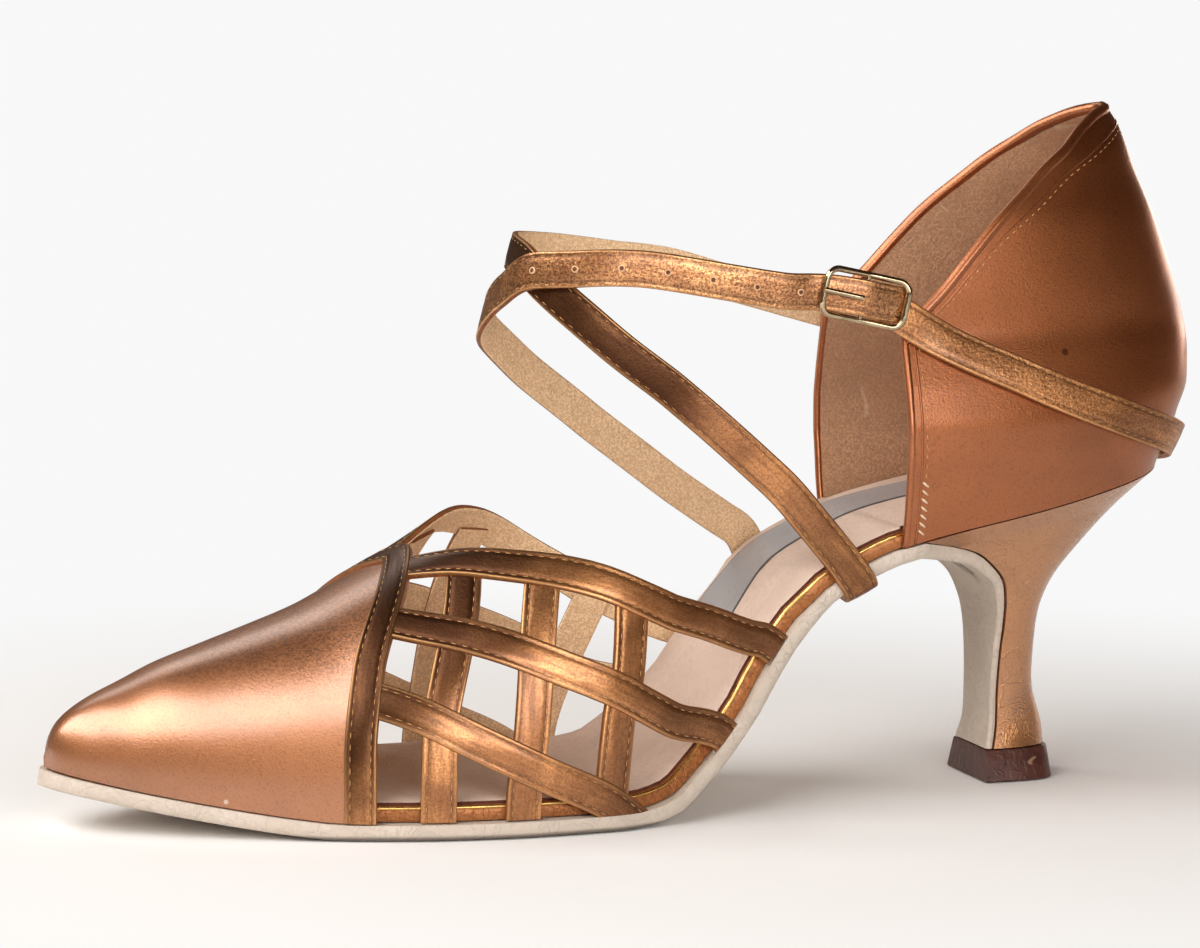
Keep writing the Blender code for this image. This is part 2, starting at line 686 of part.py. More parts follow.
def make_toe():
    """Closed toe with the raised band along its back edge."""
    columns = 24
    band_share = BAND_WIDTH / SOLE_LENGTH
    outer, inner = [], []
    turns = [2 * column / columns for column in range(columns + 1)]

    def edge(turn):
        return band_edge(min(turn, 2 - turn))

    def front_of_band(turn, share):
        start = edge(turn) + band_share
        return start + (1 - start) * share

    outer.append([last_point(edge(turn), turn, -BAND_LIFT) for turn in turns])
    outer.append([last_point(front_of_band(turn, 0.0), turn, -BAND_LIFT) for turn in turns])
    for share in TOE_SECTIONS:
        outer.append([last_point(front_of_band(turn, share), turn) for turn in turns])
    inner.append([last_point(edge(turn), turn, UPPER_WALL) for turn in turns])
    inner.append([last_point(edge(turn) + band_share / 2, turn, UPPER_WALL) for turn in turns])
    for share in TOE_SECTIONS:
        inner.append([last_point(front_of_band(turn, share), turn, UPPER_WALL) for turn in turns])
    return add_object("vamp", walled_sheet(outer, inner, close_end=False), (0.66, 0.36, 0.18), 0.3, 0.5)


def guide(item):
    """Mark an object as a tool for another one."""
    item.hide_render = True
    item.display_type = "WIRE"
    return item


def make_vamp():
    """Toe and woven side straps, joined where they cross and trimmed level with the sole."""
    vamp = make_toe()
    weave = bpy.data.collections.new("weave_straps")
    bpy.context.scene.collection.children.link(weave)
    for mirrored, side, straps in ((False, "outer", OUTER_STRAPS), (True, "inner", INNER_STRAPS)):
        for label, rows in straps.items():
            lift = LATTICE_LIFT if label.startswith("along") else -LATTICE_DROP
            mesh = surface_strap(rows, mirrored, LATTICE_WIDTH, UPPER_WALL, lift)
            strap = guide(add_object(f"{side}_{label}", mesh, (0.66, 0.36, 0.18), 0.3, 0.5))
            bpy.context.scene.collection.objects.unlink(strap)
            weave.objects.link(strap)
    joined = vamp.modifiers.new("join_straps", "BOOLEAN")
    joined.operation = "UNION"
    joined.operand_type = "COLLECTION"
    joined.collection = weave
    joined.solver = "EXACT"
    rows = []
    for station in [value for value in SOLE_STATIONS if 0.3 < value < 0.78]:
        reach = BALL_WIDTH
        top = feather(station) + GAP
        x = along(station)
        rows.append([Vector((x, -reach, top)), Vector((x, reach, top)),
                     Vector((x, reach, top - BALL_WIDTH)), Vector((x, -reach, top - BALL_WIDTH))])
    trim = guide(add_object("sole_trim", loft(rows), (0.5, 0.5, 0.5), 0.5, 0.0))
    cut = vamp.modifiers.new("trim_at_sole", "BOOLEAN")
    cut.operation = "DIFFERENCE"
    cut.object = trim
    cut.solver = "EXACT"


def make_counter():
    """Hollow counter around the heel, open at the front, top and underneath."""
    columns, rows = 26, 9
    turns = [2 * column / columns for column in range(columns + 1)]

    def grid(offset):
        sheet = []
        for row in range(rows + 1):
            share = row / rows
            line = []
            for turn in turns:
                low = rim_height(turn, offset) + GAP
                high = counter_height_at(topline_level(min(turn, 2 - turn)))
                line.append(counter_point(turn, low + (high - low) * share, offset))
            sheet.append(line)
        return sheet

    add_object("counter", walled_sheet(grid(0.0), grid(-COUNTER_WALL)), (0.60, 0.31, 0.15), 0.35, 0.4)


# Instep and heel straps

LAYER = STRAP_THICKNESS + GAP


def ankle_point(turn, height, offset=0.0):
    """Point of the instep form that the straps lie on, moved outward by the offset."""
    angle = turn * math.pi / 2
    power = 2 / ANKLE_FULLNESS
    reach = ANKLE_REACH - ANKLE_LEAN * (height - ANKLE_LEVEL)
    forward, sideways = math.cos(angle) ** power, signed_power(math.sin(angle), power)
    steepness = ANKLE_FULLNESS - 1
    normal = Vector((
        forward ** steepness / reach,
        signed_power(sideways, steepness) / ANKLE_HALF_WIDTH,
        ANKLE_LEAN * forward ** ANKLE_FULLNESS / reach,
    )).normalized()
    middle = Vector((SEAT_X + reach * forward, ANKLE_HALF_WIDTH * sideways, height))
    return middle + normal * offset, normal


def ankle_points(rows, samples=2):
    """Middle line and outward directions of a strap over the instep."""
    peak = feather(0.0) + COUNTER_HEIGHT
    path, normals = [], []
    for turn, height, layer in smooth_path(rows, samples):
        point, normal = ankle_point(turn, height * peak, layer * LAYER)
        path.append(point)
        normals.append(normal)
    return path, normals


def counter_points(rows, offset, samples=2):
    """Middle line and outward directions of a strap around the counter."""
    path, normals = [], []
    for turn, level in smooth_path(rows, samples):
        height = counter_height_at(level)
        path.append(counter_point(turn, height, offset))
        normals.append(counter_normal(turn, height))
    return path, normals


def arch_points(station, side):
    """Half loop under the shank: from the middle of the sole's underside up its edge."""
    path, normals = [], []
    reach = SOLE_EDGE_ROUND + GAP + STRAP_EASE + STRAP_THICKNESS / 2
    depth = OUTSOLE_THICKNESS - SOLE_EDGE_ROUND
    for share in (0.012, 0.4, 0.75):
        place = station - ARCH_LEAN * (1 - share) / SOLE_LENGTH
        edge = sole_edges(place)[0 if side > 0 else 1]
        down = under_sole(place, 1.0)
        top = Vector((along(place), edge * share, feather(place)))
        path.append(top + down * (depth + reach))
        normals.append(down)
    edge = sole_edges(station)[0 if side > 0 else 1]
    down = under_sole(station, 1.0)
    centre = Vector((along(station), edge - side * SOLE_EDGE_ROUND, feather(station))) + down * depth
    for step in range(ROUND_STEPS + 1):
        angle = math.pi / 2 * step / ROUND_STEPS
        out = down * math.cos(angle) + Vector((0, side * math.sin(angle), 0))
        path.append(centre + out * reach)
        normals.append(out)
    return path, normals


def even_rows(rows, step):
    """Points with their directions, taken again in even steps and rounded off."""
    lengths = [0.0]
    for here, there in zip(rows, rows[1:]):
        lengths.append(lengths[-1] + (Vector(there[:3]) - Vector(here[:3])).length)
    count = round(lengths[-1] / step)
    even = []
    index = 0
    for number in range(count + 1):
        run = lengths[-1] * number / count
        while index < len(rows) - 2 and lengths[index + 1] < run:
            index += 1
        part = (run - lengths[index]) / (lengths[index + 1] - lengths[index])
        even.append([a + (b - a) * part for a, b in zip(rows[index], rows[index + 1])])
    rounded = [[(a + 2 * b + c) / 4 for a, b, c in zip(*three)] for three in zip(even, even[1:], even[2:])]
    return [even[0]] + rounded + [even[-1]]


def strap_object(name, path, normals):
    """Strap through its middle points, with the outward direction carried along."""
    carried = [tuple(point) + tuple(normal) for point, normal in zip(path, normals)]
    smooth = even_rows(smooth_path(carried, 6), STRAP_FACET)
    middles = [Vector(row[:3]) for row in smooth]
    directions = [Vector(row[3:]).normalized() for row in smooth]
    mesh = ribbon(middles, directions, STRAP_WIDTH, STRAP_THICKNESS, STRAP_THICKNESS / 2)
    add_object(name, mesh, (0.64, 0.36, 0.19), 0.35, 0.5)


class BuckleFrame:
    """Place of the buckle: its middle on the strap, and directions along, across and out."""

    def __init__(self):
        height = counter_height_at(BUCKLE_PLACE.level)
        offset = GAP + STRAP_EASE + LAYER + STRAP_THICKNESS / 2
        self.middle = counter_point(BUCKLE_PLACE.turn, height, offset)
        ahead = counter_point(BUCKLE_PLACE.turn - 0.05, height, offset)
        run = (ahead - self.middle).normalized()
        run.y = 0.0
        self.along = Vector((run.x, -0.03, BUCKLE_DROP)).normalized()
        self.out = Vector((0, 1, 0)) - self.along * self.along.y
        self.out.normalize()
        self.across = self.out.cross(self.along)

    def place(self, along_share, out, across=0.0):
        """World point from a share of half the length, and lengths out and across."""
        run = self.along * (along_share * BUCKLE_LENGTH / 2)
        return self.middle + run + self.out * out + self.across * across

    def strap_points(self, rows):
        """Points and outward directions of a strap through the buckle."""
        path = [self.place(row.along, row.out * LAYER, row.across * LAYER) for row in rows]
        return path, [self.out] * len(rows)


def joined_runs(*runs):
    """One path and one list of directions from several runs of a strap."""
    path, normals = [], []
    for points, directions in runs:
        path += points
        normals += directions
    return path, normals


def make_straps(buckle):
    """Two instep straps and the heel strap, which meet at the shank, the counter and the buckle."""
    on_counter = GAP + STRAP_EASE + STRAP_THICKNESS / 2
    strap_object("instep_strap_first", *joined_runs(
        arch_points(FIRST_ARCH, 1), ankle_points(FIRST_STRAP),
        counter_points((CORNER_END,), on_counter)))
    strap_object("instep_strap_second", *joined_runs(
        arch_points(SECOND_ARCH, -1), ankle_points(SECOND_STRAP),
        buckle.strap_points(UNDER_BUCKLE)))
    strap_object("heel_strap", *joined_runs(
        buckle.strap_points(BAR_LOOP), counter_points(HEEL_STRAP, on_counter)))


def make_buckle(buckle):
    """Rounded frame with a middle bar, and the prong that rests on its front."""
    radius = BUCKLE_WIRE / 2
    over = STRAP_THICKNESS / 2 + 2 * GAP + radius
    half_run = BUCKLE_LENGTH / 2 - radius
    half_rise = BUCKLE_HEIGHT / 2 - radius
    corner = BUCKLE_CORNER - radius
    corners = ((1, 1, 0), (-1, 1, 90), (-1, -1, 180), (1, -1, 270))
    route = []
    for run_side, rise_side, start in corners:
        for step in range(ROUND_STEPS + 1):
            angle = math.radians(start + 90 * step / ROUND_STEPS)
            run = run_side * (half_run - corner) + corner * math.cos(angle)
            rise = rise_side * (half_rise - corner) + corner * math.sin(angle)
            route.append((run, rise))
        if run_side * rise_side > 0:
            route.append((0.0, rise_side * half_rise))
    rings = []
    sides = 8
    for index, (run, rise) in enumerate(route):
        following = route[(index + 1) % len(route)]
        previous = route[index - 1]
        heading = Vector((following[0] - previous[0], following[1] - previous[1])).normalized()
        out = over - BUCKLE_BEND * (1 - (run / half_run) ** 2)
        ring = []
        for side in range(sides):
            angle = 2 * math.pi * side / sides
            swing = radius * math.cos(angle)
            ring.append(buckle.place((run + heading.y * swing) / (BUCKLE_LENGTH / 2),
                                     out + radius * math.sin(angle), rise - heading.x * swing))
        rings.append(ring)
    frame = add_object("buckle_frame", loft(rings, closed=True), (0.75, 0.72, 0.65), 0.2, 1.0)
    bar_rings = []
    for rise in (-half_rise, half_rise):
        ring = []
        for side in range(sides):
            angle = 2 * math.pi * (side + 0.5) / sides
            wire = radius * 0.96
            ring.append(buckle.place(wire * math.cos(angle) / (BUCKLE_LENGTH / 2),
                                     over - BUCKLE_BEND + wire * math.sin(angle), rise))
        bar_rings.append(ring)
    bar = guide(add_object("buckle_bar", loft(bar_rings), (0.75, 0.72, 0.65), 0.2, 1.0))
    joined = frame.modifiers.new("join_bar", "BOOLEAN")
    joined.operation = "UNION"
    joined.object = bar
    joined.solver = "EXACT"

    hump = UNDER_BUCKLE[3].out * LAYER + STRAP_THICKNESS / 2 + GAP
    rest = over + radius + GAP
    path, normals = [], []
    for share, out in ((0.12, hump), (0.4, hump * 0.97), (0.75, rest + 0.1 * MM), (1.0, rest)):
        path.append(buckle.place(share, out + PRONG_WIDTH * 0.7))
        normals.append(buckle.out)
    add_object("buckle_prong", ribbon(path, normals, PRONG_WIDTH, PRONG_WIDTH * 0.7),
               (0.80, 0.72, 0.50), 0.2, 1.0)


def main():
    """Build the shoe in an empty scene."""
    for item in list(bpy.data.objects):
        bpy.data.objects.remove(item, do_unlink=True)
    make_outsole()
    make_insole()
    make_heel()
    make_heel_tip()
    make_vamp()
    make_counter()
    buckle = BuckleFrame()
    make_straps(buckle)
    make_buckle(buckle)


main()
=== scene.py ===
"""Looks of a left ballroom dance shoe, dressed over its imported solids.

Lengths are in metres in the frame's own axes: +X to the toe, +Y to the outer side, +Z up.
"""
import logging
import math
from dataclasses import dataclass
from enum import Enum
from typing import Callable

import bmesh
import bpy
from bmesh.types import BMesh, BMEdge, BMVert
from bpy.types import Material, Node, NodeTree, Object
from mathutils import Matrix, Vector


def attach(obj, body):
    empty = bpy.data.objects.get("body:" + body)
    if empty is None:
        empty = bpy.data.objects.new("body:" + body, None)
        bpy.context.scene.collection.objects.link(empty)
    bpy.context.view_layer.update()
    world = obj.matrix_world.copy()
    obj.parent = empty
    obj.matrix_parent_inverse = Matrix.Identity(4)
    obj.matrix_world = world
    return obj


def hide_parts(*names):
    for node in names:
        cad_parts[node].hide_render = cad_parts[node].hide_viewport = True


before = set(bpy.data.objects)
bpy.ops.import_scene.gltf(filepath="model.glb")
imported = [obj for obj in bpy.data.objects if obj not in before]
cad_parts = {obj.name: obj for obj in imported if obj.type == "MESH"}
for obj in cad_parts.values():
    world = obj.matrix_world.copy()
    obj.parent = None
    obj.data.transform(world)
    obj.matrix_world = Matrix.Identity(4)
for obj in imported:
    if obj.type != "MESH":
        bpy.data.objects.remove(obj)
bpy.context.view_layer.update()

MM = 0.001
Ring = list[Vector]
Row = tuple[float, ...]
Place = tuple[Vector, Vector]
Colour = tuple[float, float, float, float]
Socket = bpy.types.NodeSocket
Feed = float | tuple[float, ...] | Socket
log = logging.getLogger("dance_shoe")


# Sizes and tables of the shoe

@dataclass(frozen=True)
class Sizes:
    """Driving dimensions, the same as the solids'."""

    sole_length: float = 237.5 * MM
    seat_overhang: float = 33 * MM
    counter_length: float = 64 * MM
    ball_width: float = 76 * MM
    seat_width: float = 50 * MM
    heel_height: float = 65 * MM
    toe_spring: float = 8.7 * MM
    instep_height: float = 54.2 * MM
    counter_height: float = 73.2 * MM
    ridge_offset: float = 3 * MM
    ankle_half_width: float = 24.7 * MM
    ankle_reach: float = 78 * MM
    ankle_level: float = 98 * MM
    outsole: float = 3.2 * MM
    insole: float = 4 * MM
    upper_wall: float = 1.4 * MM
    counter_wall: float = 1.8 * MM
    upper_inset: float = 0.8 * MM
    band_width: float = 6.4 * MM
    band_lift: float = 0.85 * MM
    lattice_width: float = 7.2 * MM
    lattice_lift: float = 0.55 * MM
    lattice_drop: float = 0.25 * MM
    strap_width: float = 7.4 * MM
    strap: float = 1.4 * MM
    edge_round: float = 1 * MM
    tip_height: float = 6.5 * MM
    tip_flare: float = 1.5 * MM
    gap: float = 0.3 * MM
    ease: float = 0.4 * MM

    @property
    def layer(self) -> float:
        """Distance between two straps that lie on each other."""
        return self.strap + self.gap


# Squareness of the sections, 2 for an ellipse
LAST_FULLNESS = 2.4
COUNTER_FULLNESS = 2.857
HEEL_FULLNESS = 2.5
TIP_FULLNESS = 4.0
ANKLE_FULLNESS = 3.0
# How far the instep's form leans back for its height
ANKLE_LEAN = 0.27
# Station from which the upper draws in at the toe's point as well
TOE_START = 0.93

# Station, outer reach and inner reach of the sole's edge in ball widths
OUTLINE: tuple[Row, ...] = (
    (0.269, 0.324, 0.318), (0.307, 0.309, 0.303), (0.370, 0.316, 0.309), (0.433, 0.368, 0.342),
    (0.496, 0.447, 0.408), (0.559, 0.500, 0.467), (0.622, 0.507, 0.487), (0.685, 0.487, 0.480),
    (0.748, 0.434, 0.451), (0.811, 0.355, 0.399), (0.859, 0.287, 0.349), (0.895, 0.232, 0.303),
    (0.929, 0.174, 0.254), (0.957, 0.122, 0.204), (0.975, 0.086, 0.162), (0.987, 0.053, 0.132),
    (0.995, 0.015, 0.094), (1.0, -0.0395, 0.0395),
)
# Station, and the sole's top in heel heights and in toe springs
PROFILE: tuple[Row, ...] = (
    (0.0, 0.955, 0.0), (0.135, 0.854, 0.0), (0.269, 0.751, 0.0), (0.307, 0.692, 0.0), (0.340, 0.626, 0.0),
    (0.366, 0.529, 0.0), (0.397, 0.383, 0.0), (0.419, 0.262, 0.0), (0.461, 0.108, 0.0), (0.494, 0.022, 0.0),
    (0.529, 0.0, 0.0), (0.777, 0.0, 0.0), (0.811, 0.0, 0.09), (0.859, 0.0, 0.28), (0.929, 0.0, 0.61),
    (1.0, 0.0, 1.0),
)
# Station, and the last's top line in instep heights
RIDGE: tuple[Row, ...] = (
    (0.330, 1.970), (0.391, 1.827), (0.475, 1.568), (0.559, 1.310), (0.613, 1.155), (0.676, 0.978),
    (0.702, 0.915), (0.742, 0.830), (0.769, 0.773), (0.811, 0.708), (0.859, 0.639), (0.895, 0.587),
    (0.929, 0.521), (0.957, 0.470), (0.975, 0.428), (0.987, 0.385), (0.995, 0.330), (1.0, 0.262),
)
# Level, and the counter's half width in half seat widths and length in counter lengths
LEVELS: tuple[Row, ...] = (
    (0.0, 1.0, 0.906), (0.092, 1.08, 0.950), (0.156, 1.11, 0.967), (0.220, 1.14, 1.015),
    (0.277, 1.14, 1.037), (0.358, 1.09, 1.077), (0.439, 1.01, 1.080), (0.509, 0.94, 1.066),
    (0.601, 0.92, 1.031), (0.740, 0.86, 0.968), (0.855, 0.735, 0.903), (0.902, 0.68, 0.881),
    (0.954, 0.53, 0.858), (1.0, 0.32, 0.825),
)
# Quarter turns around the counter, and level of its top edge
TOPLINE: tuple[Row, ...] = (
    (0.0, 0.509), (0.126, 0.555), (0.238, 0.601), (0.393, 0.682), (0.506, 0.747), (0.646, 0.824),
    (0.767, 0.902), (0.88, 0.964), (0.958, 0.994), (1.0, 1.0),
)
# Quarter turns over the last, and station of the toe band's back edge
BAND_EDGE: tuple[Row, ...] = ((0.0, 0.749), (0.167, 0.7475), (0.455, 0.734), (0.81, 0.695), (1.0, 0.674))

# Station and quarter turns of the woven straps
OUTER_STRAPS: dict[str, tuple[Row, ...]] = {
    "along_upper": ((0.696, 0.895), (0.664, 0.770), (0.615, 0.585), (0.534, 0.377), (0.440, 0.154),
                    (0.368, -0.05)),
    "along_middle": ((0.724, 0.645), (0.688, 0.520), (0.606, 0.297), (0.523, 0.149), (0.459, 0.041),
                     (0.420, -0.03)),
    "along_lower": ((0.753, 0.370), (0.714, 0.271), (0.664, 0.151), (0.611, 0.066), (0.555, 0.012),
                    (0.505, -0.03)),
    "down_front": ((0.656, 0.705), (0.669, 0.531), (0.693, 0.274), (0.698, 0.162), (0.701, -0.03)),
    "down_centre": ((0.597, 0.530), (0.609, 0.360), (0.621, 0.132), (0.627, 0.052), (0.630, -0.03)),
    "down_back": ((0.523, 0.345), (0.531, 0.206), (0.541, 0.140), (0.549, 0.034), (0.553, -0.02)),
}
INNER_STRAPS: dict[str, tuple[Row, ...]] = {
    "along_upper": ((0.693, 0.92), (0.642, 0.775), (0.597, 0.59), (0.547, 0.40), (0.495, 0.26),
                    (0.453, 0.15), (0.380, -0.04)),
    "along_middle": OUTER_STRAPS["along_middle"],
    "along_lower": OUTER_STRAPS["along_lower"],
    "down_front": ((0.650, 0.765), (0.665, 0.56), (0.693, 0.274), (0.698, 0.162), (0.701, -0.03)),
    "down_centre": ((0.592, 0.555), (0.609, 0.360), (0.621, 0.132), (0.627, 0.052), (0.630, -0.03)),
    "down_back": ((0.478, 0.215), (0.500, 0.135), (0.520, 0.045), (0.527, -0.03)),
}

# Quarter turns from the front, share of the shoe's height, and strap layers outward
FIRST_ARCH = 0.316
FIRST_STRAP: tuple[Row, ...] = (
    (0.968, 0.348, 0), (0.954, 0.379, 0), (0.896, 0.467, 0), (0.804, 0.547, 0), (0.711, 0.606, 0),
    (0.635, 0.643, 0), (0.503, 0.694, 0), (0.399, 0.728, 0), (0.265, 0.761, 0), (0.108, 0.789, 0),
    (0.0, 0.802, 0), (-0.140, 0.807, 0), (-0.303, 0.803, 0), (-0.499, 0.794, 0), (-0.683, 0.778, 0),
    (-0.813, 0.763, 0), (-0.940, 0.725, 0),
)
SECOND_ARCH = 0.338
SECOND_STRAP: tuple[Row, ...] = (
    (-0.944, 0.357, 0), (-0.899, 0.398, 0), (-0.793, 0.474, 0), (-0.683, 0.535, 0.2),
    (-0.569, 0.586, 0.5), (-0.377, 0.650, 0.9), (-0.253, 0.679, 1.2), (-0.130, 0.704, 1.2),
    (-0.040, 0.730, 1.2), (0.025, 0.756, 1.2), (0.085, 0.774, 1.2), (0.168, 0.787, 1.2),
    (0.330, 0.793, 1.2), (0.448, 0.797, 1), (0.561, 0.796, 1), (0.659, 0.788, 1), (0.750, 0.777, 1),
    (0.820, 0.767, 1), (0.874, 0.759, 1),
)
# Quarter turns around the counter, and level
HEEL_STRAP: tuple[Row, ...] = (
    (0.03, 0.528), (0.13, 0.499), (0.281, 0.456), (0.437, 0.406), (0.583, 0.338), (0.721, 0.269),
    (0.860, 0.214), (1.0, 0.186), (1.140, 0.214), (1.279, 0.269), (1.417, 0.338), (1.563, 0.406),
    (1.719, 0.456), (1.87, 0.490),
)
CORNER_END: tuple[Row, ...] = ((1.97, 0.500),)
# Along in half buckle lengths, out and across in strap layers
UNDER_BUCKLE: tuple[Row, ...] = (
    (1.25, 0.0, 0.75), (0.92, 0.0, 0.4), (0.5, 0.66, 0.1), (0.0, 1.42, 0.0), (-0.5, 0.66, 0.0),
    (-0.92, 0.05, 0.0), (-1.02, 0.0, 0.03),
)
BAR_LOOP: tuple[Row, ...] = ((-0.16, -0.05, 0.0), (-0.5, -0.7, 0.25), (-0.8, -1.0, 0.8))

# Breast and back of the heel in counter lengths and heel heights, half width, flap thickness
HEEL: tuple[Row, ...] = (
    (0.305, 0.792, -0.375, 0.894, 0.90, 0.95), (0.211, 0.762, -0.307, 0.831, 0.80, 0.85),
    (0.145, 0.717, -0.239, 0.762, 0.71, 0.75), (0.090, 0.658, -0.161, 0.677, 0.615, 0.60),
    (0.067, 0.585, -0.121, 0.608, 0.515, 0.50), (0.060, 0.508, -0.098, 0.531, 0.435, 0.42),
    (0.062, 0.415, -0.089, 0.423, 0.368, 0.40), (0.066, 0.292, -0.088, 0.292, 0.328, 0.40),
    (0.070, 0.177, -0.120, 0.177, 0.336, 0.40), (0.086, 0.100, -0.128, 0.100, 0.38, 0.40),
)
# Front of the heel's seat in counter lengths, and the flap's width as a share of the heel's
SEAT_FRONT = 0.9375
FLAP_SHARE = 0.93


class Curve:
    """Smooth curve through a table's rows that never swings past them."""

    def __init__(self, rows: tuple[Row, ...], column: int = 1) -> None:
        """Reads the keys from the first column.

        Args:
            rows: the table.
            column: the column that holds the values.
        """
        self.keys = [row[0] for row in rows]
        self.values = [row[column] for row in rows]
        steps = [(v1 - v0) / (k1 - k0) for k0, k1, v0, v1 in
                 zip(self.keys, self.keys[1:], self.values, self.values[1:])]
        self.slopes = [steps[0]]
        for before, after in zip(steps, steps[1:]):
            level = before * after <= 0
            self.slopes.append(0.0 if level else 2 * before * after / (before + after))
        self.slopes.append(steps[-1])

    def __call__(self, key: float) -> float:
        """Value at a key, held level past the ends.

        Args:
            key: place along the table.

        Returns:
            The smooth value.
        """
        key = min(max(key, self.keys[0]), self.keys[-1])
        index = 0
        while index < len(self.keys) - 2 and key > self.keys[index + 1]:
            index += 1
        span = self.keys[index + 1] - self.keys[index]
        part = (key - self.keys[index]) / span
        low, high = self.values[index], self.values[index + 1]
        rise = self.slopes[index] * span
        fall = self.slopes[index + 1] * span
        return (low * (1 + 2 * part) * (1 - part) ** 2 + high * part ** 2 * (3 - 2 * part)
                + rise * part * (1 - part) ** 2 - fall * part ** 2 * (1 - part))


def signed_power(value: float, power: float) -> float:
    """Power that keeps the sign of the value."""
    return math.copysign(abs(value) ** power, value)


def drawn_in(width: float, inset: float) -> float:
    """Width less an inset, which fades out where the width closes."""
    return width - inset * width / (width + inset) if width > 0 else 0.0


def smooth_rows(rows: list[Row] | tuple[Row, ...], samples: int) -> list[Row]:
    """Rounded curve through rows of numbers.

    Args:
        rows: points or other rows, all of one length.
        samples: steps between two rows.

    Returns:
        The rows of the curve, both ends included.
    """
    path = []
    last = len(rows) - 1
    for index in range(last):
        quartet = (rows[max(index - 1, 0)], rows[index], rows[index + 1], rows[min(index + 2, last)])
        for step in range(samples):
            part = step / samples
            path.append(tuple(
                0.5 * (2 * b + (c - a) * part + (2 * a - 5 * b + 4 * c - d) * part ** 2
                       + (3 * b - a - 3 * c + d) * part ** 3)
                for a, b, c, d in zip(*quartet)))
    path.append(tuple(rows[last]))
    return path


class ShoeForm:
    """Surfaces that the solids follow: sole, last, counter, instep and heel."""

    def __init__(self, sizes: Sizes) -> None:
        """Keeps the sizes and makes the tables' curves.

        Args:
            sizes: driving dimensions.
        """
        self.s = sizes
        self.outer_reach = Curve(OUTLINE, 1)
        self.inner_reach = Curve(OUTLINE, 2)
        self.sole_rise = Curve(PROFILE, 1)
        self.sole_spring = Curve(PROFILE, 2)
        self.ridge = Curve(RIDGE)
        self.level_width = Curve(LEVELS, 1)
        self.level_length = Curve(LEVELS, 2)
        self.topline = Curve(TOPLINE)
        self.band_edge = Curve(BAND_EDGE)
        self.seat_x = sizes.counter_length - sizes.seat_overhang
        self.base = self.feather(self.station_at(self.seat_x))
        self.peak = self.feather(0.0) + sizes.counter_height

    def along(self, station: float) -> float:
        """X of a station on the sole."""
        return station * self.s.sole_length - self.s.seat_overhang

    def station_at(self, x: float) -> float:
        """Station of an X on the sole."""
        return (x + self.s.seat_overhang) / self.s.sole_length

    def feather(self, station: float) -> float:
        """Height of the outsole's top face."""
        rise = self.sole_rise(station) * self.s.heel_height
        return self.s.outsole + rise + self.sole_spring(station) * self.s.toe_spring

    def under(self, station: float, thickness: float) -> Vector:
        """Vector across a layer of the sole, downward and square to it.

        Args:
            station: place on the sole.
            thickness: the layer's thickness.

        Returns:
            The vector.
        """
        step = 0.002
        rise = self.feather(station + step) - self.feather(station - step)
        slope = rise / (2 * step * self.s.sole_length)
        return Vector((slope, 0, -1)).normalized() * thickness

    def edges(self, station: float, inset: float = 0.0) -> tuple[float, float]:
        """Outer and inner Y of the sole's edge.

        Args:
            station: place on the sole.
            inset: how far the edge is drawn in.

        Returns:
            Both Y values.
        """
        x = self.along(station)
        if x < self.seat_x:
            level = self.level_of(self.feather(station))
            width = self.level_width(level) * self.s.seat_width / 2 - inset
            length = self.level_length(level) * self.s.counter_length - inset
            share = min((self.seat_x - x) / length, 1.0)
            half = width * (1 - share ** COUNTER_FULLNESS) ** (1 / COUNTER_FULLNESS)
            return half, -half
        shift = self.s.ridge_offset
        outer = drawn_in(self.outer_reach(station) * self.s.ball_width + shift, inset) - shift
        inner = drawn_in(self.inner_reach(station) * self.s.ball_width - shift, inset) + shift
        return outer, -inner

    def last(self, station: float, turn: float, out: float = 0.0) -> Vector:
        """Point of the upper's surface.

        Args:
            station: place along the sole.
            turn: quarter turns from the outer edge, over the ridge, to the inner edge at 2.
            out: distance off the surface.

        Returns:
            The point.
        """
        angle = turn * math.pi / 2
        total = self.s.upper_inset - out
        if math.cos(angle) >= 0:
            width = self.outer_reach(station) * self.s.ball_width + self.s.ridge_offset
        else:
            width = self.inner_reach(station) * self.s.ball_width - self.s.ridge_offset
        low = self.feather(station) + self.s.gap
        top = self.ridge(station) * self.s.instep_height + out
        power = 2 / LAST_FULLNESS
        toe = min(max((station - TOE_START) / (1 - TOE_START), 0.0), 1.0)
        return Vector((
            self.along(station) - total * toe * toe * (3 - 2 * toe),
            drawn_in(width, total) * signed_power(math.cos(angle), power) - self.s.ridge_offset,
            low + (top - low) * signed_power(math.sin(angle), power),
        ))

    def on_last(self, station: float, turn: float) -> Place:
        """Point of the upper's surface and its outward direction.

        Args:
            station: place along the sole.
            turn: quarter turns from the outer edge.

        Returns:
            The point and its direction.
        """
        step = 0.004
        forward = self.last(station + step, turn) - self.last(station - step, turn)
        upward = self.last(station, turn + step) - self.last(station, turn - step)
        return self.last(station, turn), upward.cross(forward).normalized()

    def height_of(self, level: float) -> float:
        """Height of a level of the counter."""
        return self.base + level * (self.peak - self.base)

    def level_of(self, height: float) -> float:
        """Level of a height on the counter."""
        return (height - self.base) / (self.peak - self.base)

    def counter(self, turn: float, height: float, out: float = 0.0) -> Vector:
        """Point of the counter's outer face.

        Args:
            turn: quarter turns from the outer front edge around the back.
            height: Z.
            out: distance off the face.

        Returns:
            The point.
        """
        level = self.level_of(height)
        width = self.level_width(level) * self.s.seat_width / 2 + out
        length = self.level_length(level) * self.s.counter_length + out
        across, back = math.cos(turn * math.pi / 2), math.sin(turn * math.pi / 2)
        power = COUNTER_FULLNESS
        reach = (abs(across / width) ** power + abs(back / length) ** power) ** (-1 / power)
        return Vector((self.seat_x - reach * back, reach * across, height))

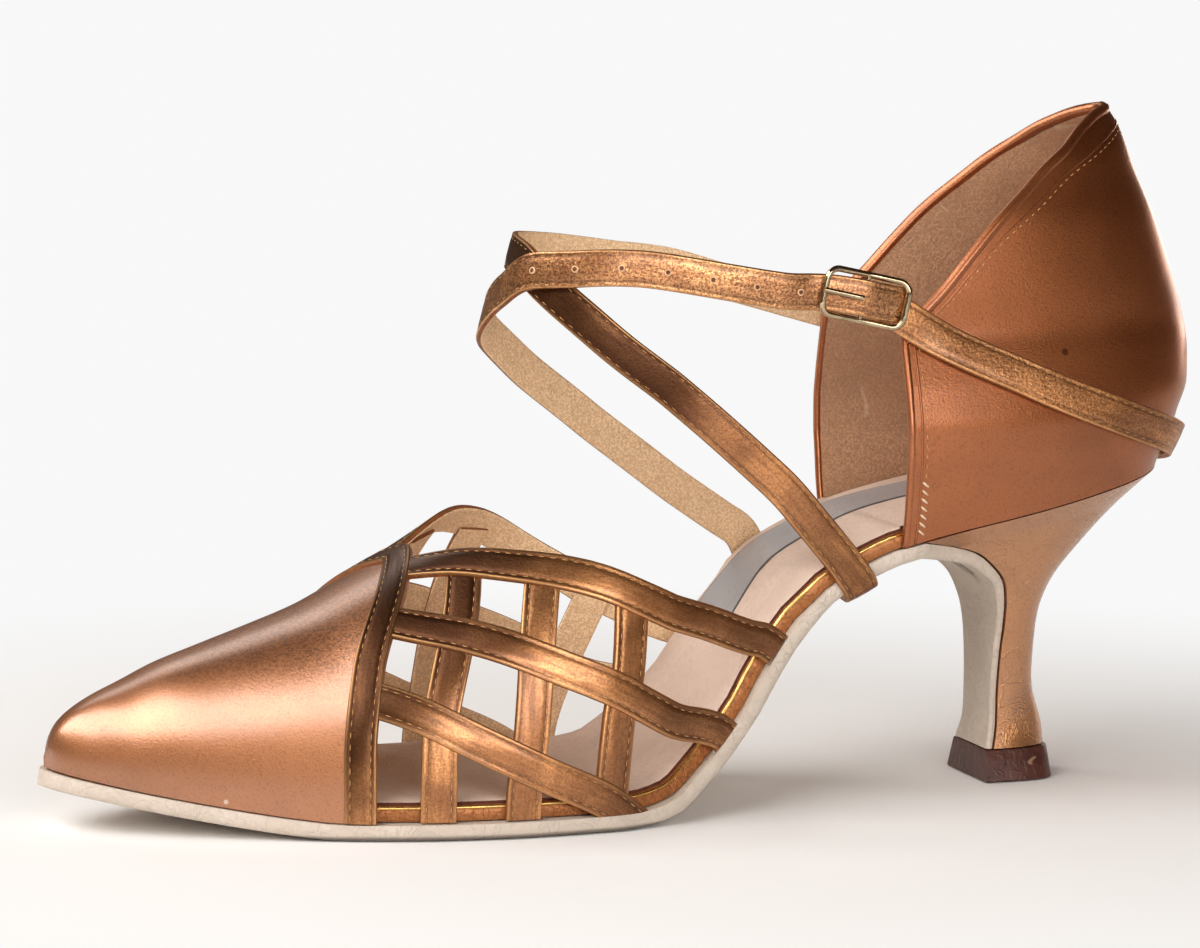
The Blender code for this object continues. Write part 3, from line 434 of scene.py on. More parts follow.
    def on_counter(self, turn: float, height: float, out: float = 0.0) -> Place:
        """Point of the counter's outer face and its outward direction.

        Args:
            turn: quarter turns from the outer front edge around the back.
            height: Z.
            out: distance off the face.

        Returns:
            The point and its direction.
        """
        step, lift = 0.01, 0.5 * MM
        around = self.counter(turn + step, height) - self.counter(turn - step, height)
        upward = self.counter(turn, height + lift) - self.counter(turn, height - lift)
        return self.counter(turn, height, out), around.cross(upward).normalized()

    def rim(self, turn: float, out: float = 0.0) -> float:
        """Height of the heel seat under the counter in a direction.

        Args:
            turn: quarter turns from the outer front edge around the back.
            out: distance off the counter's face.

        Returns:
            The height, found in four steps.
        """
        height = self.base
        for _ in range(4):
            height = self.feather(self.station_at(self.counter(turn, height, out).x))
        return height

    def ankle(self, turn: float, height: float, out: float = 0.0) -> Place:
        """Point and outward direction of the form that the instep straps lie on.

        Args:
            turn: quarter turns from the front, positive to the outer side.
            height: Z.
            out: distance off the form.

        Returns:
            The point and its direction.
        """
        power = 2 / ANKLE_FULLNESS
        reach = self.s.ankle_reach - ANKLE_LEAN * (height - self.s.ankle_level)
        forward = math.cos(turn * math.pi / 2) ** power
        sideways = signed_power(math.sin(turn * math.pi / 2), power)
        steep = ANKLE_FULLNESS - 1
        normal = Vector((
            forward ** steep / reach,
            signed_power(sideways, steep) / self.s.ankle_half_width,
            ANKLE_LEAN * forward ** ANKLE_FULLNESS / reach,
        )).normalized()
        middle = Vector((self.seat_x + reach * forward, self.s.ankle_half_width * sideways, height))
        return middle + normal * out, normal

    def breast(self) -> list[tuple[Vector, float, float]]:
        """Heel breast from the seat down to the tip.

        Returns:
            Point, half width and flap thickness of each step.
        """
        seat = self.seat_x - (1 - SEAT_FRONT) * self.s.counter_length
        station = self.station_at(seat)
        rows = [(seat, self.feather(station), self.edges(station)[0] / FLAP_SHARE, self.s.outsole)]
        for front, front_height, _, _, width, flap in HEEL:
            height = front_height * self.s.heel_height
            if front_height == HEEL[-1][1]:
                height = self.s.tip_height + self.s.gap
            rows.append((front * self.s.counter_length, height, width * self.s.seat_width / 2,
                         flap * self.s.outsole))
        smooth = smooth_rows(rows, 4)
        return [(Vector((x, 0, z)), half, flap) for x, z, half, flap in smooth]


# Paths and mesh building

class Route:
    """Middle line of a strap with its outward directions, in even steps."""

    def __init__(self, places: list[Place], step: float = 1.4 * MM, rounding: int = 0) -> None:
        """Resamples the places evenly.

        Args:
            places: points of the middle line with their outward directions.
            step: distance between two samples.
            rounding: times that the path is rounded off.
        """
        points, normals = zip(*places)
        lengths = [0.0]
        for here, there in zip(points, points[1:]):
            lengths.append(lengths[-1] + (there - here).length)
        self.length = lengths[-1]
        count = max(int(round(self.length / step)), 2)
        self.points, self.normals, self.runs = [], [], []
        index = 0
        for number in range(count + 1):
            run = self.length * number / count
            while index < len(lengths) - 2 and lengths[index + 1] < run:
                index += 1
            part = (run - lengths[index]) / max(lengths[index + 1] - lengths[index], 1e-9)
            self.points.append(points[index].lerp(points[index + 1], part))
            self.normals.append(normals[index].lerp(normals[index + 1], part).normalized())
            self.runs.append(run)
        for _ in range(rounding):
            self.points = self._rounded(self.points)
            self.normals = self._rounded(self.normals)
        self._square_normals()

    @staticmethod
    def _rounded(values: list[Vector]) -> list[Vector]:
        """Vectors averaged with their neighbours, both ends kept."""
        middle = [(a + 2 * b + c) / 4 for a, b, c in zip(values, values[1:], values[2:])]
        return [values[0]] + middle + [values[-1]]

    def _square_normals(self) -> None:
        """Turns the outward directions square to the path and finds the side directions."""
        self.tangents, self.sides = [], []
        last = len(self.points) - 1
        for index in range(last + 1):
            tangent = (self.points[min(index + 1, last)] - self.points[max(index - 1, 0)]).normalized()
            normal = self.normals[index]
            normal = (normal - tangent * normal.dot(tangent)).normalized()
            self.normals[index] = normal
            self.tangents.append(tangent)
            self.sides.append(normal.cross(tangent))

    def place(self, run: float, across: float = 0.0, out: float = 0.0) -> Matrix:
        """Place on the strap, with X ahead, Y across and Z outward.

        Args:
            run: distance from the start.
            across: distance to the side.
            out: distance outward.

        Returns:
            The place as a matrix.
        """
        share = min(max(run / self.length, 0.0), 1.0) * (len(self.points) - 1)
        index = min(int(share), len(self.points) - 2)
        part = share - index
        point = self.points[index].lerp(self.points[index + 1], part)
        normal = self.normals[index].lerp(self.normals[index + 1], part).normalized()
        ahead = self.tangents[index].lerp(self.tangents[index + 1], part).normalized()
        side = normal.cross(ahead).normalized()
        point = point + side * across + normal * out
        columns = Matrix((ahead, side, normal)).transposed().to_4x4()
        columns.translation = point
        return columns


def loft(rings: list[Ring], zones: list[int] | None = None, closed: bool = False,
         runs: list[float] | None = None, offsets: list[float] | None = None) -> BMesh:
    """Skin through rings of points, made by extruding the first ring's edges.

    Args:
        rings: rings with the same number of points.
        zones: material of each stretch between two neighbouring points of a ring.
        closed: whether the last ring joins the first.
        runs: U of each ring, for a UV map.
        offsets: V of each ring point, for a UV map.

    Returns:
        The mesh, capped at both ends unless it is closed.
    """
    builder = bmesh.new()
    rail = builder.verts.layers.int.new("rail")
    order = builder.verts.layers.int.new("ring")
    count = len(rings[0])
    bmesh.ops.create_circle(builder, segments=count, radius=1.0)
    builder.verts.ensure_lookup_table()
    ring = list(builder.verts)
    for index, (vert, point) in enumerate(zip(ring, rings[0])):
        vert.co = point
        vert[rail] = index
    edges = list(builder.edges)
    for number, points in enumerate(rings[1:], start=1):
        made = bmesh.ops.extrude_edge_only(builder, edges=edges)["geom"]
        fresh = {item for item in made if isinstance(item, BMVert)}
        following = []
        for vert, point in zip(ring, points):
            partner = next(edge.other_vert(vert) for edge in vert.link_edges
                           if edge.other_vert(vert) in fresh)
            partner.co = point
            partner[rail] = vert[rail]
            partner[order] = number
            following.append(partner)
        ring = following
        edges = [item for item in made if isinstance(item, BMEdge)
                 and item.verts[0] in fresh and item.verts[1] in fresh]
    if zones:
        for face in builder.faces:
            rails = sorted({vert[rail] for vert in face.verts})
            wraps = rails[-1] - rails[0] > 1
            face.material_index = zones[count - 1 if wraps else rails[0]]
    if runs and offsets:
        uv = builder.loops.layers.uv.new("UVMap")
        for face in builder.faces:
            for corner in face.loops:
                corner[uv].uv = (runs[corner.vert[order]], offsets[corner.vert[rail]])
    if closed:
        bmesh.ops.remove_doubles(builder, verts=builder.verts, dist=1e-6)
    else:
        open_edges = [edge for edge in builder.edges if edge.is_boundary]
        bmesh.ops.holes_fill(builder, edges=open_edges, sides=0)
        bmesh.ops.remove_doubles(builder, verts=builder.verts, dist=1e-7)
    bmesh.ops.recalc_face_normals(builder, faces=builder.faces)
    return builder


def mirrored_ring(section: tuple[Row, ...], place: Callable[[float], Vector], outer: float,
                  inner: float) -> Ring:
    """Ring across the sole, with one side's section repeated on the other.

    Args:
        section: distance out from the edge, and depth or share, of each point.
        place: middle of the sole at a depth or share.
        outer: Y of the outer edge.
        inner: Y of the inner edge.

    Returns:
        The ring.
    """
    spots = [(out, place(depth)) for out, depth in section]
    ring = [Vector((spot.x, outer + out, spot.z)) for out, spot in spots]
    return ring + [Vector((spot.x, inner - out, spot.z)) for out, spot in reversed(spots)]


def sheet(place: Callable[[float, float], Vector], columns: int, rows: int,
          thickness: float) -> BMesh:
    """Wall whose outer face follows a surface.

    Args:
        place: surface point for shares across and along.
        columns: faces across.
        rows: faces along.
        thickness: wall, grown to the inside.

    Returns:
        The mesh, with material 1 inside and on the rim.
    """
    builder = bmesh.new()
    bmesh.ops.create_grid(builder, x_segments=columns, y_segments=rows, size=0.5)
    for vert in builder.verts:
        vert.co = place(vert.co.x + 0.5, vert.co.y + 0.5)
    bmesh.ops.remove_doubles(builder, verts=builder.verts, dist=1e-6)
    centre = sum((vert.co for vert in builder.verts), Vector()) / len(builder.verts)
    outward = sum((face.normal.dot(face.calc_center_median() - centre) * face.calc_area()
                   for face in builder.faces if face.normal.length > 0))
    if outward < 0:
        bmesh.ops.reverse_faces(builder, faces=builder.faces)
    outer = set(builder.faces)
    bmesh.ops.solidify(builder, geom=list(builder.faces), thickness=thickness)
    bmesh.ops.recalc_face_normals(builder, faces=builder.faces)
    for face in builder.faces:
        face.material_index = 0 if face in outer else 1
    return builder


def finish_mesh(name: str, builder: BMesh, materials: list[Material],
                node: str, sharp: float = 40.0) -> Object:
    """Object from a mesh, riding on the shoe in place of a solid.

    Args:
        name: the piece's name.
        builder: its mesh, which is used up.
        materials: its materials in slot order.
        node: the solid that it stands for, which it hides.
        sharp: edges past this angle, in degrees, stay sharp.

    Returns:
        The object.
    """
    mesh = bpy.data.meshes.new(name)
    builder.to_mesh(mesh)
    builder.free()
    mesh.shade_smooth()
    mesh.set_sharp_from_angle(angle=math.radians(sharp))
    for material in materials:
        mesh.materials.append(material)
    piece = bpy.data.objects.new(name, mesh)
    bpy.context.scene.collection.objects.link(piece)
    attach(piece, "root")
    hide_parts(node)
    log.info("%s: %d faces", name, len(mesh.polygons))
    return piece


@dataclass(frozen=True)
class StrapCut:
    """Cross-section of a strap: flat lining, rounded edges, crowned face with two stitch grooves."""

    width: float
    thickness: float
    lift: float = 0.0
    edge: float = 0.3 * MM
    seam_inset: float = 1.15 * MM
    wing: float = 0.32 * MM
    groove: float = 0.08 * MM
    crown: float = 0.10 * MM

    def outline(self) -> list[tuple[float, float]]:
        """Outline of the section, from one lower corner over the face and back.

        Returns:
            Distances across and outward of each point.
        """
        half, top, low = self.width / 2, self.lift, self.lift - self.thickness
        seam = half - self.seam_inset
        right = [
            (half, low + self.edge), (half, top - self.edge),
            (half - self.edge * 0.35, top - self.edge * 0.3), (half - self.edge, top),
            (seam + self.wing, top), (seam, top - self.groove),
            (seam - self.wing, top + self.crown * 0.25), (seam * 0.5, top + self.crown),
        ]
        left = [(-across, out) for across, out in reversed(right)]
        return right + left + [(-half + self.edge, low), (half - self.edge, low)]

    @staticmethod
    def zones() -> list[int]:
        """Material of each stretch of the outline: 0 face, 1 lining, 2 cut edge."""
        return [2] + [0] * 13 + [2] + [1] * 3

    def build(self, route: Route) -> BMesh:
        """Strap along a route.

        Args:
            route: its middle line.

        Returns:
            The mesh, with a UV map in metres along and across.
        """
        outline = self.outline()
        rings = []
        for point, side, normal in zip(route.points, route.sides, route.normals):
            rings.append([point + side * across + normal * out for across, out in outline])
        return loft(rings, self.zones(), runs=route.runs, offsets=[across for across, _ in outline])


def tube(path: list[Vector], radius: float, sides: int = 8, squash: float = 1.0) -> BMesh:
    """Round cord along a path.

    Args:
        path: its middle line.
        radius: its radius.
        sides: faces around.
        squash: height as a share of the width.

    Returns:
        The mesh.
    """
    rings = []
    last = len(path) - 1
    side = None
    for index, point in enumerate(path):
        ahead = (path[min(index + 1, last)] - path[max(index - 1, 0)]).normalized()
        if side is None:
            side = ahead.orthogonal().normalized()
        side = (side - ahead * side.dot(ahead)).normalized()
        up = ahead.cross(side)
        rings.append([point + side * (radius * math.cos(2 * math.pi * k / sides))
                      + up * (radius * squash * math.sin(2 * math.pi * k / sides)) for k in range(sides)])
    return loft(rings)


class ThreadRow:
    """Row of stitches, each a short thread with round ends.

    A stitch lower than the lowest height is left out, as the strap is inside the sole there.
    """

    lowest = 1.0 * MM

    def __init__(self, pitch: float, length: float, thickness: float, slant: float = 0.0) -> None:
        """Keeps the stitch's size.

        Args:
            pitch: distance between two stitches.
            length: one stitch.
            thickness: the thread.
            slant: turn of a stitch in the surface, in radians.
        """
        self.pitch = pitch
        self.length = length
        self.thickness = thickness
        self.slant = slant
        self.builder = bmesh.new()

    def add(self, place: Matrix) -> None:
        """Adds one stitch.

        Args:
            place: its place, with X ahead and Z outward.
        """
        size = Matrix.Diagonal((self.length, self.thickness, self.thickness * 0.8, 1.0))
        turn = Matrix.Rotation(self.slant, 4, "Z")
        bmesh.ops.create_icosphere(self.builder, subdivisions=1, radius=0.5, matrix=place @ turn @ size)

    def sew(self, route: Route, across: float, out: float, start: float = 0.0, end: float = 0.0) -> None:
        """Sews along a route.

        Args:
            route: the strap's middle line.
            across: distance of the row to the side.
            out: height of the threads.
            start: bare length at the start.
            end: bare length at the end.
        """
        run = start + self.pitch / 2
        while run < route.length - end:
            place = route.place(run, across, out)
            if place.translation.z > self.lowest:
                self.add(place)
            run += self.pitch

    def sew_pair(self, route: Route, cut: StrapCut, out: float, end: float = 0.0) -> None:
        """Sews along both edges of a strap.

        Args:
            route: the strap's middle line.
            cut: the strap's cross-section.
            out: height of the threads.
            end: bare length at the end.
        """
        for sign in (1, -1):
            self.sew(route, sign * (cut.width / 2 - cut.seam_inset), out, 0.0, end)

    def piece(self, name: str, material: Material, node: str) -> Object:
        """Object that holds every stitch of the row."""
        return finish_mesh(name, self.builder, [material], node, 180.0)

# Shader node groups and finishes

def srgb(red: int, green: int, blue: int) -> Colour:
    """Scene colour of a screen colour.

    Args:
        red: 0 to 255.
        green: 0 to 255.
        blue: 0 to 255.

    Returns:
        Linear red, green, blue and full alpha.
    """
    def linear(value: int) -> float:
        """Linear share of one screen value."""
        share = value / 255
        return share / 12.92 if share <= 0.04045 else ((share + 0.055) / 1.055) ** 2.4

    return linear(red), linear(green), linear(blue), 1.0


class Graph:
    """Short way to add and join the nodes of one tree."""

    def __init__(self, tree: NodeTree) -> None:
        """Keeps the tree."""
        self.tree = tree

    def feed(self, socket: Socket, value: Feed) -> None:
        """Joins an input to another socket, or gives it a value.

        Args:
            socket: the input.
            value: the socket or value that it gets.
        """
        if isinstance(value, Socket):
            self.tree.links.new(value, socket)
        else:
            socket.default_value = value

    def add(self, kind: str, inputs: dict[str | int, Feed] | None = None,
            **settings: object) -> Node:
        """Adds a node.

        Args:
            kind: the node's type.
            inputs: values or sockets for its inputs, by name or number.
            settings: properties of the node.

        Returns:
            The node.
        """
        node = self.tree.nodes.new(kind)
        for key, value in settings.items():
            setattr(node, key, value)
        for key, value in (inputs or {}).items():
            self.feed(node.inputs[key], value)
        return node

    def math(self, operation: str, first: Feed, second: Feed = 0.0) -> Socket:
        """Result of a Math node."""
        return self.add("ShaderNodeMath", {0: first, 1: second}, operation=operation).outputs[0]

    def weighted(self, first: Feed, first_weight: float, second: Feed, second_weight: float) -> Socket:
        """Sum of two values, each times its weight."""
        return self.math("ADD", self.math("MULTIPLY", first, first_weight),
                         self.math("MULTIPLY", second, second_weight))

    def away(self, value: Feed, level: float) -> Socket:
        """Distance of a value from a level."""
        return self.math("ABSOLUTE", self.math("SUBTRACT", value, level))

    def blend(self, factor: Feed, first: Feed, second: Feed) -> Socket:
        """Mix of two colours."""
        node = self.add("ShaderNodeMix", {0: factor, 6: first, 7: second}, data_type="RGBA")
        return node.outputs[2]

    def tint(self, base: Feed, colour: Feed, mask: Feed, strength: Feed) -> Socket:
        """Base with a colour laid over it where the mask is."""
        return self.blend(self.math("MULTIPLY", mask, strength), base, colour)

    def between(self, value: Feed, low: Feed, high: Feed, to_low: float = 0.0,
                to_high: float = 1.0) -> Socket:
        """Value mapped smoothly from one range to another.

        Args:
            value: what is mapped.
            low: start of its range.
            high: end of its range.
            to_low: result at the start.
            to_high: result at the end.

        Returns:
            The mapped value.
        """
        node = self.add("ShaderNodeMapRange", {0: value, 1: low, 2: high, 3: to_low, 4: to_high},
                        interpolation_type="SMOOTHSTEP")
        return node.outputs[0]

    def spread(self, mask: Feed, bare: float, full: float) -> Socket:
        """Value that goes from one level to another with a mask."""
        return self.between(mask, 0.0, 1.0, bare, full)

    def noise(self, vector: Feed, scale: Feed, detail: float = 2.0, distortion: float = 0.0) -> Socket:
        """Factor of a noise texture."""
        inputs = {"Vector": vector, "Scale": scale, "Detail": detail, "Distortion": distortion}
        return self.add("ShaderNodeTexNoise", inputs).outputs[0]

    def axis(self, vector: Feed, number: int) -> Socket:
        """One coordinate of a vector, 0 to 2."""
        return self.add("ShaderNodeSeparateXYZ", {0: vector}).outputs[number]

    def stretched(self, vector: Feed, factors: tuple[float, float, float]) -> Socket:
        """Vector times three factors."""
        node = self.add("ShaderNodeVectorMath", {0: vector, 1: factors}, operation="MULTIPLY")
        return node.outputs[0]

    def distance(self, first: Feed, second: Feed) -> Socket:
        """Distance between two places."""
        node = self.add("ShaderNodeVectorMath", {0: first, 1: second}, operation="DISTANCE")
        return node.outputs["Value"]


class Effect(Enum):
    """Shared effects that materials place with their own values."""

    WEAVE = "satin_weave"
    GRAIN = "leather_grain"
    MOTTLE = "mottling"
    FLECK = "flecks"
    SPOT = "spot"
    SCRATCH = "scratches"


class EffectDraft(Graph):
    """Node group in the making, with named inputs and outputs."""

    def __init__(self, effect: Effect, inputs: dict[str, float | None], outputs: list[str]) -> None:
        """Makes the empty group and its sockets.

        Args:
            effect: the group's effect.
            inputs: name and default of each input; None makes a vector.
            outputs: names of the outputs.
        """
        super().__init__(bpy.data.node_groups.new(effect.value, "ShaderNodeTree"))
        for name, default in inputs.items():
            kind = "NodeSocketVector" if default is None else "NodeSocketFloat"
            socket = self.tree.interface.new_socket(name=name, in_out="INPUT", socket_type=kind)
            if default is not None:
                socket.default_value = default
        for name in outputs:
            self.tree.interface.new_socket(name=name, in_out="OUTPUT", socket_type="NodeSocketFloat")
        self.start = self.tree.nodes.new("NodeGroupInput")
        self.end = self.tree.nodes.new("NodeGroupOutput")

    def given(self, name: str) -> Socket:
        """Value that the material gives to the group."""
        return self.start.outputs[name]

    def give(self, name: str, value: Socket) -> None:
        """Sends a value to one of the outputs."""
        self.feed(self.end.inputs[name], value)


class EffectLibrary:
    """Builds each shader node group once."""

    def __init__(self) -> None:
        """Makes every group."""
        self.groups = {
            Effect.WEAVE: self._weave(), Effect.GRAIN: self._grain(), Effect.MOTTLE: self._mottle(),
            Effect.FLECK: self._fleck(), Effect.SPOT: self._spot(), Effect.SCRATCH: self._scratch(),
        }

    @staticmethod
    def _weave() -> NodeTree:
        """Fine shiny threads of satin, with longer floats across them.

        Returns:
            The node group.
        """
        draft = EffectDraft(Effect.WEAVE, {"Vector": None, "Scale": 3500.0}, ["Height", "Sparkle"])
        fine = draft.noise(draft.given("Vector"), draft.given("Scale"), 1.0)
        along = draft.stretched(draft.given("Vector"), (0.35, 1.0, 1.6))
        floats = draft.noise(along, draft.given("Scale"), 2.0)
        draft.give("Height", draft.weighted(fine, 0.6, floats, 0.5))
        draft.give("Sparkle", draft.between(fine, 0.52, 0.72))
        return draft.tree

    @staticmethod
    def _grain() -> NodeTree:
        """Pebbled grain with fine creases.

        Returns:
            The node group.
        """
        draft = EffectDraft(Effect.GRAIN, {"Vector": None, "Scale": 1500.0}, ["Height", "Crease"])
        cells = draft.add("ShaderNodeTexVoronoi", {"Vector": draft.given("Vector"),
                                                   "Scale": draft.given("Scale")}).outputs["Distance"]
        wide = draft.math("MULTIPLY", draft.given("Scale"), 0.16)
        folds = draft.noise(draft.given("Vector"), wide, 4.0, 1.2)
        crease = draft.between(draft.away(folds, 0.5), 0.0, 0.035, 1.0, 0.0)
        draft.give("Height", draft.weighted(cells, -0.5, crease, -0.5))
        draft.give("Crease", crease)
        return draft.tree

    @staticmethod
    def _mottle() -> NodeTree:
        """Soft patches.

        Returns:
            The node group.
        """
        draft = EffectDraft(Effect.MOTTLE, {"Vector": None, "Scale": 60.0, "Low": 0.4, "High": 0.6},
                            ["Mask"])
        patches = draft.noise(draft.given("Vector"), draft.given("Scale"), 3.0, 0.6)
        draft.give("Mask", draft.between(patches, draft.given("Low"), draft.given("High")))
        return draft.tree

    @staticmethod
    def _fleck() -> NodeTree:
        """Small scattered flecks.

        Returns:
            The node group.
        """
        draft = EffectDraft(Effect.FLECK, {"Vector": None, "Scale": 900.0, "Amount": 0.3}, ["Mask"])
        spots = draft.noise(draft.given("Vector"), draft.given("Scale"), 2.0, 0.4)
        edge = draft.math("SUBTRACT", 0.78, draft.given("Amount"))
        draft.give("Mask", draft.between(spots, edge, draft.math("ADD", edge, 0.08)))
        return draft.tree

    @staticmethod
    def _spot() -> NodeTree:
        """Soft round patch around a place.

        Returns:
            The node group.
        """
        draft = EffectDraft(Effect.SPOT, {"Vector": None, "Place": None, "Inner": 0.003, "Outer": 0.006},
                            ["Mask"])
        away = draft.distance(draft.given("Vector"), draft.given("Place"))
        draft.give("Mask", draft.between(away, draft.given("Inner"), draft.given("Outer"), 1.0, 0.0))
        return draft.tree

    @staticmethod
    def _scratch() -> NodeTree:
        """Few thin slanting lines.

        Returns:
            The node group.
        """
        draft = EffectDraft(Effect.SCRATCH, {"Vector": None, "Scale": 60.0, "Width": 0.006}, ["Mask"])
        lines = draft.noise(draft.given("Vector"), draft.given("Scale"), 1.0, 0.8)
        line = draft.between(draft.away(lines, 0.5), 0.0, draft.given("Width"), 1.0, 0.0)
        breaks = draft.noise(draft.given("Vector"), draft.math("MULTIPLY", draft.given("Scale"), 2.3))
        draft.give("Mask", draft.math("MULTIPLY", line, draft.between(breaks, 0.55, 0.62)))
        return draft.tree


class Finish(Graph):
    """Material in the making: its shader, coordinates and effects."""

    def __init__(self, name: str, effects: EffectLibrary) -> None:
        """Starts the material.

        Args:
            name: the material's name.
            effects: shared effects.
        """
        self.material = bpy.data.materials.new(name)
        self.material.use_nodes = True
        super().__init__(self.material.node_tree)
        self.shader = self.tree.nodes["Principled BSDF"]
        self.effects = effects
        coordinates = self.add("ShaderNodeTexCoord")
        self.place = coordinates.outputs["Object"]
        self.uv = coordinates.outputs["UV"]

    def constants(self, **values: float) -> None:
        """Sets constants of the shader, with underscores for spaces in their names."""
        for key, value in values.items():
            self.shader.inputs[key.replace("_", " ")].default_value = value

    def effect(self, effect: Effect, output: str, **inputs: Feed) -> Socket:
        """Places a shared effect on Object coordinates unless told otherwise."""
        values = {"Vector": self.place, **inputs}
        return self.add("ShaderNodeGroup", values, node_tree=self.effects.groups[effect]).outputs[output]

    def set(self, socket: str, value: Socket) -> None:
        """Feeds a shader socket."""
        self.feed(self.shader.inputs[socket], value)

    def relief(self, height: Socket, distance: float) -> None:
        """Feeds the shader's normal from a height."""
        bump = self.add("ShaderNodeBump", {"Height": height, "Distance": distance, "Strength": 1.0})
        self.set("Normal", bump.outputs["Normal"])


@dataclass(frozen=True)
class Recipe:
    """Recipe of one material."""

    name: str

    def make(self, effects: EffectLibrary) -> Material:
        """Builds the material.

        Args:
            effects: shared effects.

        Returns:
            The material.
        """
        finish = Finish(self.name, effects)
        self.dress(finish)
        return finish.material

    def dress(self, finish: Finish) -> None:
        """Gives the material its look, which each kind of recipe does in its own way."""
        raise NotImplementedError


@dataclass(frozen=True)
class Satin(Recipe):
    """Copper satin cloth: coloured threads under a clear shine, with one small mark.

    The top-shade heights are where painted shade comes in towards the top, laid on as darker grainy flecks,
    and the mark is one small spot.
    """

    light: Colour
    dark: Colour
    roughness: float = 0.40
    metallic: float = 0.94
    weave: float = 2300.0
    relief_depth: float = 0.075 * MM
    wrinkles: float = 0.0
    shine: float = 1.0
    top_shade_heights: tuple[float, float] = (0.5, 1.0)
    top_shade_tint: Colour = srgb(92, 52, 26)
    mark: tuple[float, float, float] = (0.0, 0.0, 0.0)
    mark_tint: Colour = (0.1, 0.05, 0.03, 1.0)
    mark_size: float = 0.7 * MM

    def dress(self, finish: Finish) -> None:
        """Lays on tone, gloss and relief.

        Args:
            finish: the material in the making.
        """
        finish.constants(Metallic=self.metallic, Coat_Roughness=0.26, Coat_IOR=1.9)
        patches = finish.effect(Effect.MOTTLE, "Mask", Scale=45.0, Low=0.3, High=0.75)
        sparkle = finish.effect(Effect.WEAVE, "Sparkle", Scale=self.weave)
        tone = finish.tint(self.light, self.dark, patches, strength=0.3)
        tone = finish.tint(tone, self.dark, sparkle, strength=0.4)
        # Painted shade towards the top, laid on as darker flecks over an even darkening.
        upper = finish.between(finish.axis(finish.place, 2), *self.top_shade_heights)
        pepper = finish.effect(Effect.FLECK, "Mask", Scale=1500.0, Amount=0.31)
        pepper = finish.math("ADD", finish.math("MULTIPLY", pepper, 0.45), 0.15)
        tone = finish.tint(tone, self.top_shade_tint, pepper, strength=upper)
        mark = finish.effect(Effect.SPOT, "Mask", Place=self.mark, Inner=self.mark_size * 0.5,
                             Outer=self.mark_size)
        finish.set("Base Color", finish.tint(tone, self.mark_tint, mark, strength=0.7))
        finish.set("Roughness", finish.spread(patches, self.roughness - 0.03, self.roughness + 0.05))
        dull = finish.effect(Effect.WEAVE, "Sparkle", Scale=self.weave * 0.7)
        dull = finish.math("MAXIMUM", finish.math("MULTIPLY", dull, 0.5), mark)
        finish.set("Coat Weight", finish.spread(dull, self.shine, self.shine * 0.4))
        relief = finish.effect(Effect.WEAVE, "Height", Scale=self.weave)
        if self.wrinkles > 0:
            folds = finish.effect(Effect.GRAIN, "Crease", Scale=900.0)
            relief = finish.weighted(relief, 1.0, folds, self.wrinkles)
        finish.relief(relief, self.relief_depth)


